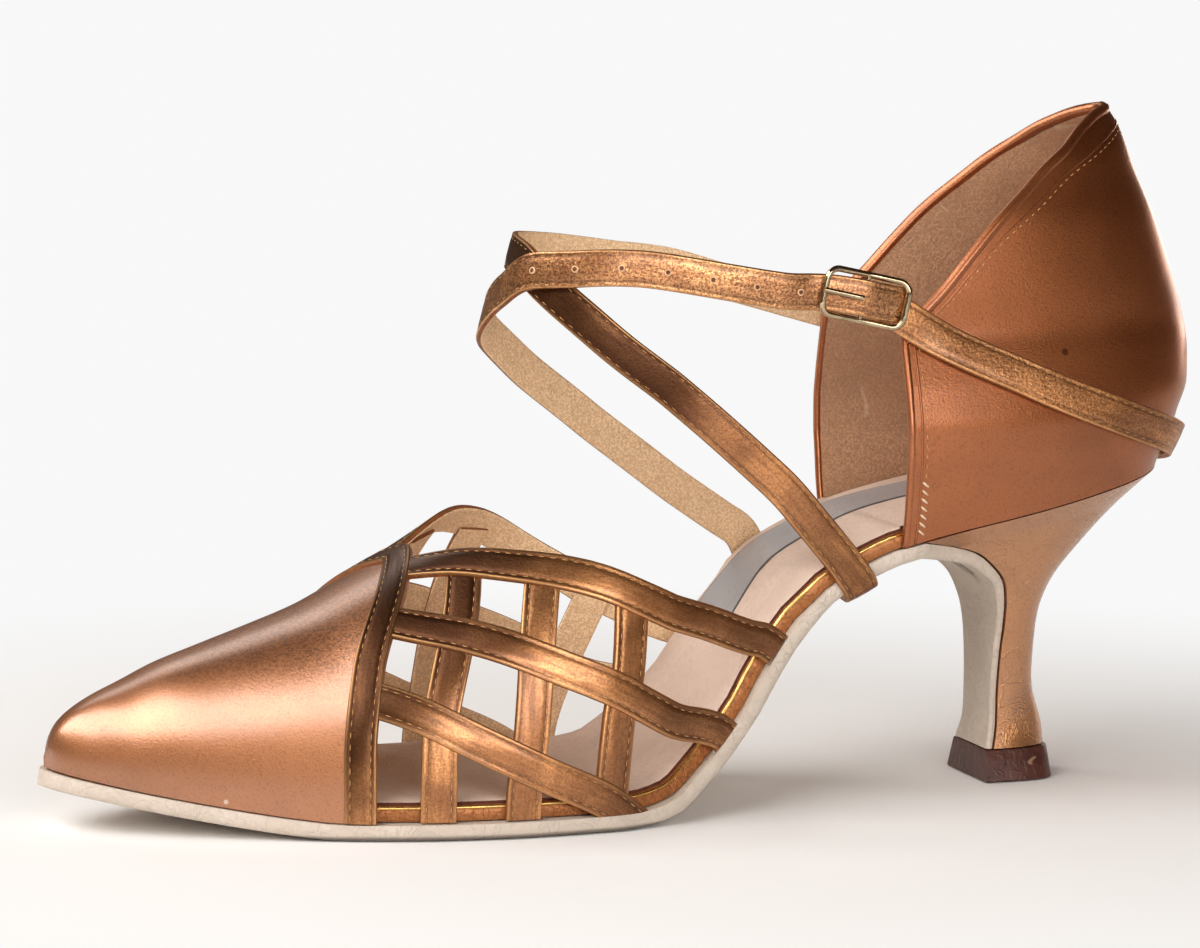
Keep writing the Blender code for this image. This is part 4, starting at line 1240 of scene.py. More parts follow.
@dataclass(frozen=True)
class StrapLeather(Recipe):
    """Metallic copper leather with darker patches, a stitch groove and lighter rims.

    Painted shade is how dark the leather gets where a strap leans away from the light, which leaves a
    lighter middle band as a painted highlight; the two heights, each taken along X and Z together, are
    where that shade comes in at the top and at the bottom.
    """

    light: Colour
    dark: Colour
    half_width: float
    roughness: float = 0.33
    metallic: float = 0.92
    grain: float = 1900.0
    relief_depth: float = 0.05 * MM
    patch_scale: float = 70.0
    fleck: float = 0.35
    fleck_tint: Colour = srgb(96, 52, 28)
    painted_shade: float = 0.0
    painted_shade_tint: Colour = srgb(50, 25, 12)
    painted_shade_top: tuple[float, float] = (145 * MM, 170 * MM)
    painted_shade_bottom: tuple[float, float] = (122 * MM, 98 * MM)
    seam_inset: float = 1.15 * MM
    seam_tint: Colour = srgb(74, 38, 20)
    rim_tint: Colour = srgb(232, 176, 116)

    def _with_painted_shade(self, finish: Finish, tone: Socket) -> Socket:
        """Darkens the leather with painted shade towards both ends of each strap, and dulls its coat there.

        Args:
            finish: the material in the making.
            tone: its tone so far.

        Returns:
            The darker tone.
        """
        # Painted shade: strongest towards the top along X and Z, weaker towards the bottom, with a lighter
        # band between as a painted highlight.
        slope = finish.math("ADD", finish.axis(finish.place, 0), finish.axis(finish.place, 2))
        high = finish.between(slope, *self.painted_shade_top)
        low = finish.between(slope, *self.painted_shade_bottom)
        painted_shade_mask = finish.math("MAXIMUM", high, finish.math("MULTIPLY", low, 0.45))
        finish.set("Coat Weight", finish.spread(painted_shade_mask, 0.45, 0.06))
        return finish.tint(tone, self.painted_shade_tint, painted_shade_mask, strength=self.painted_shade)

    def dress(self, finish: Finish) -> None:
        """Lays on tone, gloss and relief.

        Args:
            finish: the material in the making.
        """
        finish.constants(Metallic=self.metallic, Coat_Weight=0.4, Coat_Roughness=0.24, Coat_IOR=1.6)
        patches = finish.effect(Effect.MOTTLE, "Mask", Scale=self.patch_scale, Low=0.42, High=0.62)
        bronze = finish.effect(Effect.MOTTLE, "Mask", Scale=self.patch_scale * 0.4, Low=0.47, High=0.60)
        drawn = finish.stretched(finish.uv, (0.12, 1.0, 1.0))
        streaks = finish.effect(Effect.MOTTLE, "Mask", Vector=drawn, Scale=900.0, Low=0.4, High=0.7)
        fine = finish.effect(Effect.FLECK, "Mask", Scale=2200.0, Amount=0.30)
        tone = finish.tint(self.light, self.dark, patches, strength=0.45)
        tone = finish.tint(tone, self.dark, bronze, strength=0.55)
        tone = finish.tint(tone, self.dark, streaks, strength=0.45)
        tone = finish.tint(tone, self.fleck_tint, fine, strength=self.fleck)
        # Painted shade at both ends of each strap, where it leans away from the light.
        if self.painted_shade > 0:
            tone = self._with_painted_shade(finish, tone)
        offset = finish.away(finish.axis(finish.uv, 1), 0.0)
        seam = finish.away(offset, self.half_width - self.seam_inset)
        groove = finish.between(seam, 0.12 * MM, 0.42 * MM, 1.0, 0.0)
        tone = finish.tint(tone, self.seam_tint, groove, strength=0.38)
        rim = finish.between(offset, self.half_width - 0.7 * MM, self.half_width - 0.1 * MM)
        finish.set("Base Color", finish.tint(tone, self.rim_tint, rim, strength=0.4))
        finish.set("Roughness", finish.spread(streaks, self.roughness, self.roughness + 0.10))
        finish.relief(finish.effect(Effect.WEAVE, "Height", Scale=self.grain), self.relief_depth)


@dataclass(frozen=True)
class Matt(Recipe):
    """Dull material with a speckled tone: linings, sock, sole, threads and edge paint."""

    light: Colour
    dark: Colour
    roughness: float = 0.85
    metallic: float = 0.0
    patch_scale: float = 60.0
    patch_strength: float = 0.3
    fleck_scale: float = 900.0
    fleck: float = 0.30
    fleck_strength: float = 0.5
    grain: float = 1400.0
    relief_depth: float = 0.15 * MM
    sheen: float = 0.0
    scratch: float = 0.0
    scratch_tint: Colour = srgb(250, 226, 196)

    def _tone(self, finish: Finish) -> Socket:
        """Lays on gloss and relief and mixes the tone.

        Args:
            finish: the material in the making.

        Returns:
            The tone before it reaches the shader.
        """
        finish.constants(Roughness=self.roughness, Metallic=self.metallic, Sheen_Weight=self.sheen)
        patches = finish.effect(Effect.MOTTLE, "Mask", Scale=self.patch_scale, Low=0.35, High=0.65)
        fleck = finish.effect(Effect.FLECK, "Mask", Scale=self.fleck_scale, Amount=self.fleck)
        mask = finish.math("MAXIMUM", finish.math("MULTIPLY", patches, self.patch_strength),
                           finish.math("MULTIPLY", fleck, self.fleck_strength))
        finish.relief(finish.effect(Effect.GRAIN, "Height", Scale=self.grain), self.relief_depth)
        tone = finish.blend(mask, self.light, self.dark)
        if self.scratch > 0:
            lines = finish.effect(Effect.SCRATCH, "Mask", Scale=38.0, Width=0.010)
            tone = finish.tint(tone, self.scratch_tint, lines, strength=self.scratch)
        return tone

    def dress(self, finish: Finish) -> None:
        """Lays on tone, gloss and relief."""
        finish.set("Base Color", self._tone(finish))


@dataclass(frozen=True)
class SoleLeather(Matt):
    """Pale split leather with a scuff on the breast flap and a painted contact shadow along its lowest
    edge.
    """

    scuff: tuple[float, float, float] = (9.5 * MM, 4.0 * MM, 46 * MM)
    scuff_tint: Colour = srgb(96, 84, 72)
    ground: tuple[float, float] = (0.4 * MM, 1.3 * MM)
    contact_shadow_tint: Colour = srgb(70, 60, 52)

    def dress(self, finish: Finish) -> None:
        """Lays on tone, gloss and relief.

        Args:
            finish: the material in the making.
        """
        tone = self._tone(finish)
        scuff = finish.effect(Effect.SPOT, "Mask", Place=self.scuff, Inner=2.5 * MM, Outer=6.5 * MM)
        rough = finish.effect(Effect.FLECK, "Mask", Scale=420.0, Amount=0.32)
        tone = finish.tint(tone, self.scuff_tint, scuff, strength=finish.spread(rough, 0.35, 0.8))
        # Painted contact shadow: darker towards the very bottom of the sole.
        line = finish.between(finish.axis(finish.place, 2), *self.ground, 0.75, 0.0)
        finish.set("Base Color", finish.blend(line, tone, self.contact_shadow_tint))


@dataclass(frozen=True)
class Polished(Recipe):
    """Polished metal with faint handling marks."""

    tint: Colour
    roughness: float = 0.14
    worn_tint: Colour = srgb(92, 80, 62)

    def dress(self, finish: Finish) -> None:
        """Lays on tone, gloss and relief.

        Args:
            finish: the material in the making.
        """
        finish.constants(Metallic=1.0)
        wear = finish.effect(Effect.MOTTLE, "Mask", Scale=300.0, Low=0.4, High=0.6)
        finish.set("Base Color", finish.tint(self.tint, self.worn_tint, wear, strength=0.4))
        finish.set("Roughness", finish.spread(wear, self.roughness, self.roughness + 0.12))


@dataclass(frozen=True)
class HardPlastic(Recipe):
    """Dark hard plastic with pale scratches."""

    tint: Colour
    dull_tint: Colour = srgb(48, 22, 16)
    scratch_tint: Colour = srgb(190, 150, 120)

    def dress(self, finish: Finish) -> None:
        """Lays on tone, gloss and relief.

        Args:
            finish: the material in the making.
        """
        finish.constants(Roughness=0.42)
        scratch = finish.effect(Effect.SCRATCH, "Mask", Scale=90.0, Width=0.007)
        patches = finish.effect(Effect.MOTTLE, "Mask", Scale=200.0, Low=0.4, High=0.7)
        tone = finish.tint(self.tint, self.dull_tint, patches, strength=0.5)
        finish.set("Base Color", finish.tint(tone, self.scratch_tint, scratch, strength=0.55))
        finish.relief(finish.effect(Effect.FLECK, "Mask", Scale=500.0, Amount=0.3), 0.05 * MM)


class Wardrobe:
    """Every material of the shoe, by name."""

    def __init__(self) -> None:
        """Makes the materials once."""
        copper = {"light": srgb(192, 124, 76), "dark": srgb(128, 76, 43)}
        leather = {"light": srgb(216, 150, 94), "dark": srgb(112, 64, 34), "painted_shade": 0.88}
        lining = {"fleck_scale": 2300.0, "fleck": 0.34}
        recipes = [
            # Toe, counter and heel are one satin cloth: the heel's copy is painted lighter for the light on
            # it, and the counter's painted darker for its shade.
            Satin("satin_toe", **copper, top_shade_heights=(21 * MM, 38 * MM), mark=(172.5 * MM, 20.3 * MM, 7.4 * MM),
                  mark_tint=srgb(250, 236, 220), mark_size=0.6 * MM),
            Satin("satin_counter", srgb(176, 102, 54), srgb(112, 60, 30), shine=0.45, roughness=0.36,
                  mark=(-3.5 * MM, 23.8 * MM, 90.6 * MM), mark_tint=srgb(60, 24, 14), mark_size=1.0 * MM),
            Satin("satin_heel", srgb(212, 148, 94), srgb(144, 90, 50), roughness=0.38, wrinkles=0.8,
                  relief_depth=0.11 * MM),
            StrapLeather("leather_weave", half_width=3.6 * MM, **leather),
            StrapLeather("leather_band", half_width=3.2 * MM, **leather),
            StrapLeather("leather_crossing", half_width=3.7 * MM, **leather),
            StrapLeather("leather_instep", srgb(228, 166, 112), srgb(128, 78, 42), 3.7 * MM, fleck=0.7,
                         grain=1500.0, relief_depth=0.10 * MM),
            StrapLeather("leather_heel_strap", srgb(234, 166, 108), srgb(128, 78, 43), 3.7 * MM, fleck=0.5,
                         roughness=0.42, grain=1500.0, relief_depth=0.16 * MM),
            Matt("edge_paint", srgb(150, 90, 48), srgb(96, 54, 28), roughness=0.5, metallic=0.2),
            Matt("strap_lining", srgb(250, 216, 174), srgb(182, 134, 88), roughness=0.6,
                 patch_strength=0.12, fleck_strength=0.45, **lining),
            Matt("suede_lining", srgb(206, 160, 124), srgb(124, 88, 60), roughness=0.9, sheen=0.3,
                 patch_strength=0.2, fleck_strength=0.4, scratch=0.25, **lining),
            Matt("sock", srgb(216, 192, 176), srgb(188, 162, 146), roughness=0.9, fleck_strength=0.25),
            Matt("label_panel", srgb(172, 168, 168), srgb(150, 146, 148), roughness=0.5, metallic=0.3,
                 fleck_strength=0.2),
            Matt("label_border", srgb(92, 84, 82), srgb(70, 62, 60), roughness=0.6),
            Matt("insole_edge", srgb(176, 112, 62), srgb(134, 80, 40), roughness=0.42, metallic=0.45),
            Matt("insole_line", srgb(96, 44, 24), srgb(64, 28, 16), roughness=0.7),
            Matt("hole_rim_glint", srgb(232, 190, 148), srgb(180, 124, 80), roughness=0.8),
            Matt("hole_shade", srgb(116, 70, 42), srgb(80, 46, 26), roughness=0.9),
            SoleLeather("sole_leather", srgb(214, 200, 186), srgb(182, 166, 150), roughness=0.8,
                        patch_scale=90.0, fleck_strength=0.3),
            Matt("thread", srgb(224, 172, 108), srgb(176, 122, 68), roughness=0.5, metallic=0.25,
                 relief_depth=0.05 * MM),
            Matt("pale_thread", srgb(244, 220, 190), srgb(214, 176, 136), roughness=0.6,
                 relief_depth=0.05 * MM),
            Polished("gold_bead_highlight", srgb(246, 200, 120), 0.22),
            Polished("buckle_metal", srgb(198, 180, 148), 0.10),
            HardPlastic("tip_plastic", srgb(84, 46, 36)),
        ]
        effects = EffectLibrary()
        self.materials = {recipe.name: recipe.make(effects) for recipe in recipes}

    def __getitem__(self, name: str) -> Material:
        """Material by name."""
        return self.materials[name]

    def strap(self, face: str) -> list[Material]:
        """Materials of a strap: its face, its lining and its cut edge."""
        return [self[face], self["strap_lining"], self["edge_paint"]]


# Sub-assemblies

@dataclass
class Assembly:
    """Pieces of the shoe that a maker puts together."""

    form: ShoeForm
    wardrobe: Wardrobe

    def build(self) -> None:
        """Makes every piece; each assembly has its own way."""
        raise NotImplementedError


@dataclass
class Outsole(Assembly):
    """Leather sole with its shank and the thin flap down the heel breast.

    The rings go from the toe back to the seat and on down the breast; the wave is the uneven cut of the
    outer edge along the shank.
    """

    stations: int = 90
    seat_station: float = 0.277
    bulge: float = 0.22 * MM
    wave: float = 0.28 * MM
    wave_centre: float = 0.45
    wave_reach: float = 0.14
    wave_turns: float = 130.0

    def _ring(self, top: Vector, down: Vector, outer: float, inner: float, rounding: float) -> Ring:
        """Section of the sole: flat top, bulged sides, rounded lower edges.

        Args:
            top: middle of the top face.
            down: across the thickness.
            outer: Y of the outer edge.
            inner: Y of the inner edge.
            rounding: radius of the lower edges.

        Returns:
            The ring.
        """
        thick = down.length
        unit = down.normalized()
        side = ((0.0, 0.0), (self.bulge * 0.6, thick * 0.25), (self.bulge, thick * 0.5),
                (0.0, thick - rounding * 0.9), (-rounding * 0.35, thick - rounding * 0.3),
                (-rounding, thick))
        return mirrored_ring(side, lambda depth: top + unit * depth, outer, inner)

    def build(self) -> None:
        """Makes the sole."""
        form, sizes = self.form, self.form.s
        rings = []
        for index in range(self.stations + 1):
            angle = math.pi / 2 * index / self.stations
            station = 1.0 - (1.0 - self.seat_station) * (1 - math.cos(angle))
            outer, inner = form.edges(station)
            near = max(0.0, 1 - abs(station - self.wave_centre) / self.wave_reach)
            ripple = self.wave * math.sin(station * self.wave_turns) * near
            rounding = min(sizes.edge_round, (outer - inner) / 8)
            top = Vector((form.along(station), 0, form.feather(station)))
            rings.append(self._ring(top, form.under(station, sizes.outsole), outer + ripple, inner,
                                    rounding))
        breast = form.breast()
        last = len(breast) - 1
        for index, (point, half, flap) in enumerate(breast):
            run = (breast[min(index + 1, last)][0] - breast[max(index - 1, 0)][0]).normalized()
            out = Vector((-run.z, 0, run.x)) if index < last else Vector((1, 0, 0))
            half *= FLAP_SHARE
            rings.append(self._ring(point + out * sizes.gap, out * flap, half, -half,
                                    min(sizes.edge_round, flap / 3)))
        finish_mesh("outsole_leather", loft(rings), [self.wardrobe["sole_leather"]], "outsole", 50)


@dataclass
class Insole(Assembly):
    """Board with its copper edge and a bright gold bead along it as a painted highlight, the sock and the
    bare label panel.

    The bare stretch is where the board's edge shows between counter and toe, in stations. The two
    sections hold distance out from the edge and height in board thicknesses, and the label's rows hold
    X, middle and half width.
    """

    stations: int = 110
    heel_end: float = 0.020
    toe_end: float = 0.945
    bare: tuple[float, float] = (0.268, 0.353)
    bare_inset: float = 1 * MM
    board_section: tuple[Row, ...] = (
        (0.0, 0.0), (0.12 * MM, 0.3), (0.0, 0.62), (-0.35 * MM, 0.72), (-0.9 * MM, 0.78),
    )
    sock_section: tuple[Row, ...] = ((-0.9 * MM, 0.7), (-0.75 * MM, 0.93), (-1.3 * MM, 1.0))
    bead_level: float = 0.66
    bead_inset: float = 0.12 * MM
    bead_radius: float = 0.36 * MM
    label: tuple[Row, ...] = (
        (-6 * MM, -3 * MM, 7 * MM), (30 * MM, -10 * MM, 7.2 * MM), (48 * MM, -10 * MM, 7.6 * MM),
        (58.5 * MM, -8 * MM, 9.8 * MM),
    )

    def _inset(self, station: float) -> float:
        """How far the insole's edge lies inside the sole's.

        Args:
            station: place on the sole.

        Returns:
            The distance.
        """
        sizes = self.form.s
        if station < self.bare[0]:
            return sizes.counter_wall + 3 * sizes.gap
        if station < self.bare[1]:
            return self.bare_inset
        hidden = sizes.upper_inset + sizes.upper_wall + 3 * sizes.gap
        share = min((station - self.bare[1]) / 0.01, 1.0)
        return self.bare_inset + (hidden - self.bare_inset) * share

    def _top(self, station: float, lift: float) -> Vector:
        """Middle of the insole's surface at a height over the sole."""
        up = self.form.under(station, -lift)
        return Vector((self.form.along(station), 0, self.form.feather(station) + self.form.s.gap)) + up

    def _stations(self) -> list[float]:
        """Stations from the heel to the toe, dense at both ends and at the steps of the edge.

        Returns:
            The stations in order.
        """
        values = [self.heel_end + (self.toe_end - self.heel_end)
                  * (1 - math.cos(math.pi * k / self.stations)) / 2 for k in range(self.stations + 1)]
        values += [self.bare[0] - 0.002, self.bare[0] + 0.001, self.bare[1] - 0.001]
        return sorted(values)

    def build(self) -> None:
        """Makes board, bead, sock and label."""
        thick = self.form.s.insole
        board, sock = [], []
        beads: dict[str, list[Vector]] = {"outer": [], "inner": []}
        for station in self._stations():
            outer, inner = self.form.edges(station, self._inset(station))
            place: Callable[[float], Vector] = lambda share: self._top(station, thick * share)
            board.append(mirrored_ring(self.board_section, place, outer, inner))
            sock.append(mirrored_ring(self.sock_section, place, outer, inner))
            spot = place(self.bead_level)
            beads["outer"].append(Vector((spot.x, outer - self.bead_inset, spot.z)))
            beads["inner"].append(Vector((spot.x, inner + self.bead_inset, spot.z)))
        finish_mesh("insole_board", loft(board), [self.wardrobe["insole_edge"]], "insole", 60)
        finish_mesh("insole_sock", loft(sock, [1, 0, 0, 0, 1, 0]),
                    [self.wardrobe["sock"], self.wardrobe["insole_line"]], "insole", 60)
        # Bright gold beads: a painted highlight along the board's rounded top edge.
        for side, path in beads.items():
            finish_mesh(f"insole_bead_{side}", tube(path[3:-3], self.bead_radius),
                        [self.wardrobe["gold_bead_highlight"]], "insole", 180)
        self._label()

    def _label(self) -> None:
        """Makes the bare silver-grey panel with its thin dark border, set on the sock."""
        back, front = self.label[0][0], self.label[-1][0]
        centre, half_width = Curve(self.label, 1), Curve(self.label, 2)
        for name, grow, lift in (("label_border", 0.6 * MM, 0.10 * MM), ("label_panel", 0.0, 0.22 * MM)):

            def place(across: float, along: float, grow: float = grow, lift: float = lift) -> Vector:
                """Point of the panel.

                Args:
                    across: share of the width.
                    along: share of the length.
                    grow: how far the piece reaches past the panel.
                    lift: height over the sock.

                Returns:
                    The point.
                """
                x = back - grow + along * (front - back + 2 * grow)
                spot = self._top(self.form.station_at(x), self.form.s.insole + lift)
                half = half_width(x) + grow
                return Vector((spot.x, centre(x) + (across * 2 - 1) * half, spot.z))

            finish_mesh(name, sheet(place, 8, 60, 0.08 * MM), [self.wardrobe[name]] * 2, "insole", 60)


@dataclass
class Heel(Assembly):
    """Satin-covered heel block and its plastic tip."""

    around: int = 40

    def _sections(self) -> list[tuple[Vector, Vector, float]]:
        """Sections of the heel under its seat.

        Returns:
            Breast point, back point and half width of each section.
        """
        sizes = self.form.s
        rows = []
        for front, front_height, back, back_height, width, _ in HEEL:
            low = front_height == HEEL[-1][1]
            front_z = sizes.tip_height + sizes.gap if low else front_height * sizes.heel_height
            back_z = front_z if low else back_height * sizes.heel_height
            rows.append((front * sizes.counter_length, front_z, back * sizes.counter_length, back_z,
                         width * sizes.seat_width / 2))
        return [(Vector((a, 0, b)), Vector((c, 0, d)), half) for a, b, c, d, half in smooth_rows(rows, 5)]

    def _half_ring(self, front: Vector, back: Vector, half: float, fullness: float) -> Ring:
        """Ring with a straight front edge and a rounded back.

        Args:
            front: middle of the front edge.
            back: rearmost point.
            half: half width.
            fullness: squareness of the back.

        Returns:
            The ring.
        """
        ring = []
        for step in range(self.around + 1):
            angle = math.pi * step / self.around
            middle = front.lerp(back, signed_power(math.sin(angle), 2 / fullness))
            ring.append(Vector((middle.x, half * signed_power(math.cos(angle), 2 / fullness), middle.z)))
        return ring

    def _seat_ring(self) -> Ring:
        """Outline of the seat, from one side of the breast around the back to the other.

        Returns:
            The ring.
        """
        form = self.form
        seat = form.breast()[0][0]
        end = form.counter(1.0, form.rim(1.0))
        ring = []
        for step in range(self.around + 1):
            share = signed_power(math.sin(math.pi * step / self.around), 2 / COUNTER_FULLNESS)
            station = form.station_at(seat.x + (end.x - seat.x) * share)
            outer, inner = form.edges(station)
            side = outer if 2 * step < self.around else inner
            ring.append(Vector((form.along(station), side, form.feather(station))))
        return ring

    def build(self) -> None:
        """Makes block and tip."""
        seat = self._seat_ring()
        sections = self._sections()
        first = self._half_ring(*sections[0], HEEL_FULLNESS)
        rings = [seat]
        for share in (0.25, 0.5, 0.75):
            rings.append([here.lerp(there, share) for here, there in zip(seat, first)])
        rings += [self._half_ring(*section, HEEL_FULLNESS) for section in sections]
        finish_mesh("heel_cover", loft(rings), [self.wardrobe["satin_heel"]], "heel", 50)
        self._tip()

    def _tip(self) -> None:
        """Makes the tip, flared to the ground with rubbed edges."""
        sizes = self.form.s
        foot_front, _, foot_back, _, foot_width, foot_flap = HEEL[-1]
        front = foot_front * sizes.counter_length + sizes.gap + foot_flap * sizes.outsole
        back = foot_back * sizes.counter_length
        half = foot_width * sizes.seat_width / 2
        levels = ((sizes.tip_height, -0.25 * MM), (sizes.tip_height - 0.3 * MM, 0.0),
                  (0.35 * MM, sizes.tip_flare), (0.0, sizes.tip_flare - 0.3 * MM))
        rings = [self._half_ring(Vector((front + flare / 2, 0, height)),
                                 Vector((back - flare / 2, 0, height)), half + flare, TIP_FULLNESS)
                 for height, flare in levels]
        finish_mesh("tip_block", loft(rings), [self.wardrobe["tip_plastic"]], "heel_tip", 50)


@dataclass
class Vamp(Assembly):
    """Satin toe, its leather band and the woven straps of both sides."""

    crowding: float = 1.6
    band_thickness: float = 1.7 * MM
    band_steps: int = 90
    stitch_pitch: float = 2.3 * MM
    stitch_length: float = 1.5 * MM
    thread: float = 0.18 * MM
    bare_end: float = 3.2 * MM

    def _band_station(self, turn: float) -> float:
        """Station of the band's middle at a turn over the last."""
        sizes = self.form.s
        return self.form.band_edge(min(turn, 2 - turn)) + sizes.band_width / sizes.sole_length / 2

    def _threads(self) -> ThreadRow:
        """Fresh row of this upper's stitches."""
        return ThreadRow(self.stitch_pitch, self.stitch_length, self.thread)

    def _toe(self) -> None:
        """Makes the closed toe with its lining."""
        def place(across: float, along: float) -> Vector:
            """Point of the toe at shares across and along."""
            start = self._band_station(2 * across)
            return self.form.last(start + (1 - start) * (1 - (1 - along) ** self.crowding), 2 * across)

        finish_mesh("toe_satin", sheet(place, 96, 90, self.form.s.upper_wall),
                    [self.wardrobe["satin_toe"], self.wardrobe["strap_lining"]], "vamp", 50)

    def _on_last(self, rows: tuple[Row, ...], mirrored: bool) -> Route:
        """Route over the last through stations and quarter turns, perhaps on the inner side."""
        return Route([self.form.on_last(station, 2 - turn if mirrored else turn)
                      for station, turn in smooth_rows(rows, 6)])

    def _trim(self, builder: BMesh, station: float) -> None:
        """Cuts a strap level with the top of the sole.

        Args:
            builder: the strap.
            station: where it meets the sole.
        """
        form = self.form
        level = Vector((form.along(station), 0, form.feather(station) + form.s.gap))
        geometry = list(builder.verts) + list(builder.edges) + list(builder.faces)
        cut = bmesh.ops.bisect_plane(builder, geom=geometry, plane_co=level,
                                     plane_no=form.under(station, 1.0), clear_outer=True, dist=1e-7)
        rim = [item for item in cut["geom_cut"] if isinstance(item, BMEdge)]
        bmesh.ops.holes_fill(builder, edges=rim, sides=0)

    def _band(self) -> None:
        """Makes the raised band behind the toe."""
        sizes = self.form.s
        turns = [2 * step / self.band_steps for step in range(self.band_steps + 1)]
        band = Route([self.form.on_last(self._band_station(turn), turn) for turn in turns])
        cut = StrapCut(sizes.band_width, self.band_thickness, sizes.band_lift)
        finish_mesh("toe_band", cut.build(band), self.wardrobe.strap("leather_band"), "vamp")
        threads = self._threads()
        threads.sew_pair(band, cut, sizes.band_lift)
        threads.piece("toe_band_stitches", self.wardrobe["thread"], "vamp")

    def build(self) -> None:
        """Makes toe, band and straps with their stitches."""
        sizes = self.form.s
        self._toe()
        self._band()
        for mirrored, side, straps in ((False, "outer", OUTER_STRAPS), (True, "inner", INNER_STRAPS)):
            threads = self._threads()
            for label, rows in straps.items():
                lift = sizes.lattice_lift if label.startswith("along") else -sizes.lattice_drop
                route = self._on_last(rows, mirrored)
                cut = StrapCut(sizes.lattice_width, sizes.upper_wall, lift)
                builder = cut.build(route)
                self._trim(builder, rows[-1][0])
                finish_mesh(f"weave_{side}_{label}", builder, self.wardrobe.strap("leather_weave"), "vamp")
                threads.sew_pair(route, cut, lift, self.bare_end)
            threads.piece(f"weave_{side}_stitches", self.wardrobe["thread"], "vamp")


@dataclass
class Counter(Assembly):
    """Satin quarter with suede lining, rolled top edge, double front edges and whip stitches.

    The shifts are quarter turns in from the front edge, and the whip stitches take the lowest share of
    the front seam, with finer stitches above them.
    """

    steps: int = 120
    line_drop: float = 2.4 * MM
    line_radius: float = 0.26 * MM
    seam_drop: float = 3.2 * MM
    rim_swell: float = 0.35 * MM
    roll: float = 1.15 * MM
    welt: float = 0.30 * MM
    welt_shift: float = 0.042
    seam_shift: float = 0.064
    whip_share: float = 0.30

    def _height(self, turn: float, share: float, out: float = 0.0) -> float:
        """Height of a share of the wall in a direction.

        Args:
            turn: quarter turns from the outer front edge around the back.
            share: 0 at the bottom, 1 at the top edge.
            out: distance off the outer face.

        Returns:
            The height.
        """
        low = self.form.rim(turn, out) + self.form.s.gap
        high = self.form.height_of(self.form.topline(min(turn, 2 - turn)))
        return low + (high - low) * share

    def _edge_route(self, down: float, out: float) -> Route:
        """Route at a distance below the top edge and off the outer face."""
        return Route([self.form.on_counter(turn, self._height(turn, 1.0) - down, out)
                      for turn in self._turns()])

    def _turns(self) -> list[float]:
        """Quarter turns all the way around, in even steps."""
        return [2 * step / self.steps for step in range(self.steps + 1)]

    def build(self) -> None:
        """Makes wall, rolled edges and stitches."""
        form, satin = self.form, [self.wardrobe["satin_counter"]]
        wall = sheet(lambda across, along: form.counter(2 * across, self._height(2 * across, along)),
                     110, 50, form.s.counter_wall)
        finish_mesh("counter_satin", wall, satin + [self.wardrobe["suede_lining"]], "counter", 50)
        half_wall = form.s.counter_wall / 2
        rim = [form.counter(turn, self._height(turn, 1.0) - 0.2 * MM, -half_wall)
               for turn in self._turns()]
        finish_mesh("counter_rim_roll", tube(rim, half_wall + self.rim_swell, 12), satin, "counter", 180)
        line = self._edge_route(self.line_drop, -0.10 * MM).points
        finish_mesh("counter_rim_line", tube(line, self.line_radius), satin, "counter", 180)
        threads = ThreadRow(1.9 * MM, 1.2 * MM, 0.20 * MM)
        threads.sew(self._edge_route(self.seam_drop, 0.0), 0.0, 0.04 * MM)
        threads.piece("counter_top_stitches", self.wardrobe["thread"], "counter")
        self._front_edges()

    def _front_edges(self) -> None:
        """Makes the rolled double edge and the stitches at both front corners."""
        form = self.form
        whip = ThreadRow(1.7 * MM, 2.2 * MM, 0.55 * MM, 0.9)
        fine = ThreadRow(2.0 * MM, 1.3 * MM, 0.24 * MM, 0.2)
        folds = ((0.0, -0.9 * MM, self.roll), (self.welt_shift, -0.05 * MM, self.welt))
        for label, turn, inward in (("outer", 0.0, 1), ("inner", 2.0, -1)):
            for number, (shift, out, radius) in enumerate(folds):
                spot = turn + inward * shift
                path = [form.counter(spot, self._height(spot, k / 40), out) for k in range(41)]
                finish_mesh(f"counter_{label}_roll_{number}", tube(path, radius, 10, 0.8),
                            [self.wardrobe["satin_counter"]], "counter", 180)
            spot = turn + inward * self.seam_shift
            seam = Route([form.on_counter(spot, self._height(spot, k / 30)) for k in range(31)])
            whip.sew(seam, 0.0, 0.10 * MM, 1.5 * MM, seam.length * (1 - self.whip_share))
            fine.sew(seam, 0.0, 0.05 * MM, seam.length * (self.whip_share - 0.01), 3 * MM)
        whip.piece("counter_whip_stitches", self.wardrobe["pale_thread"], "counter")
        fine.piece("counter_front_stitches", self.wardrobe["thread"], "counter")


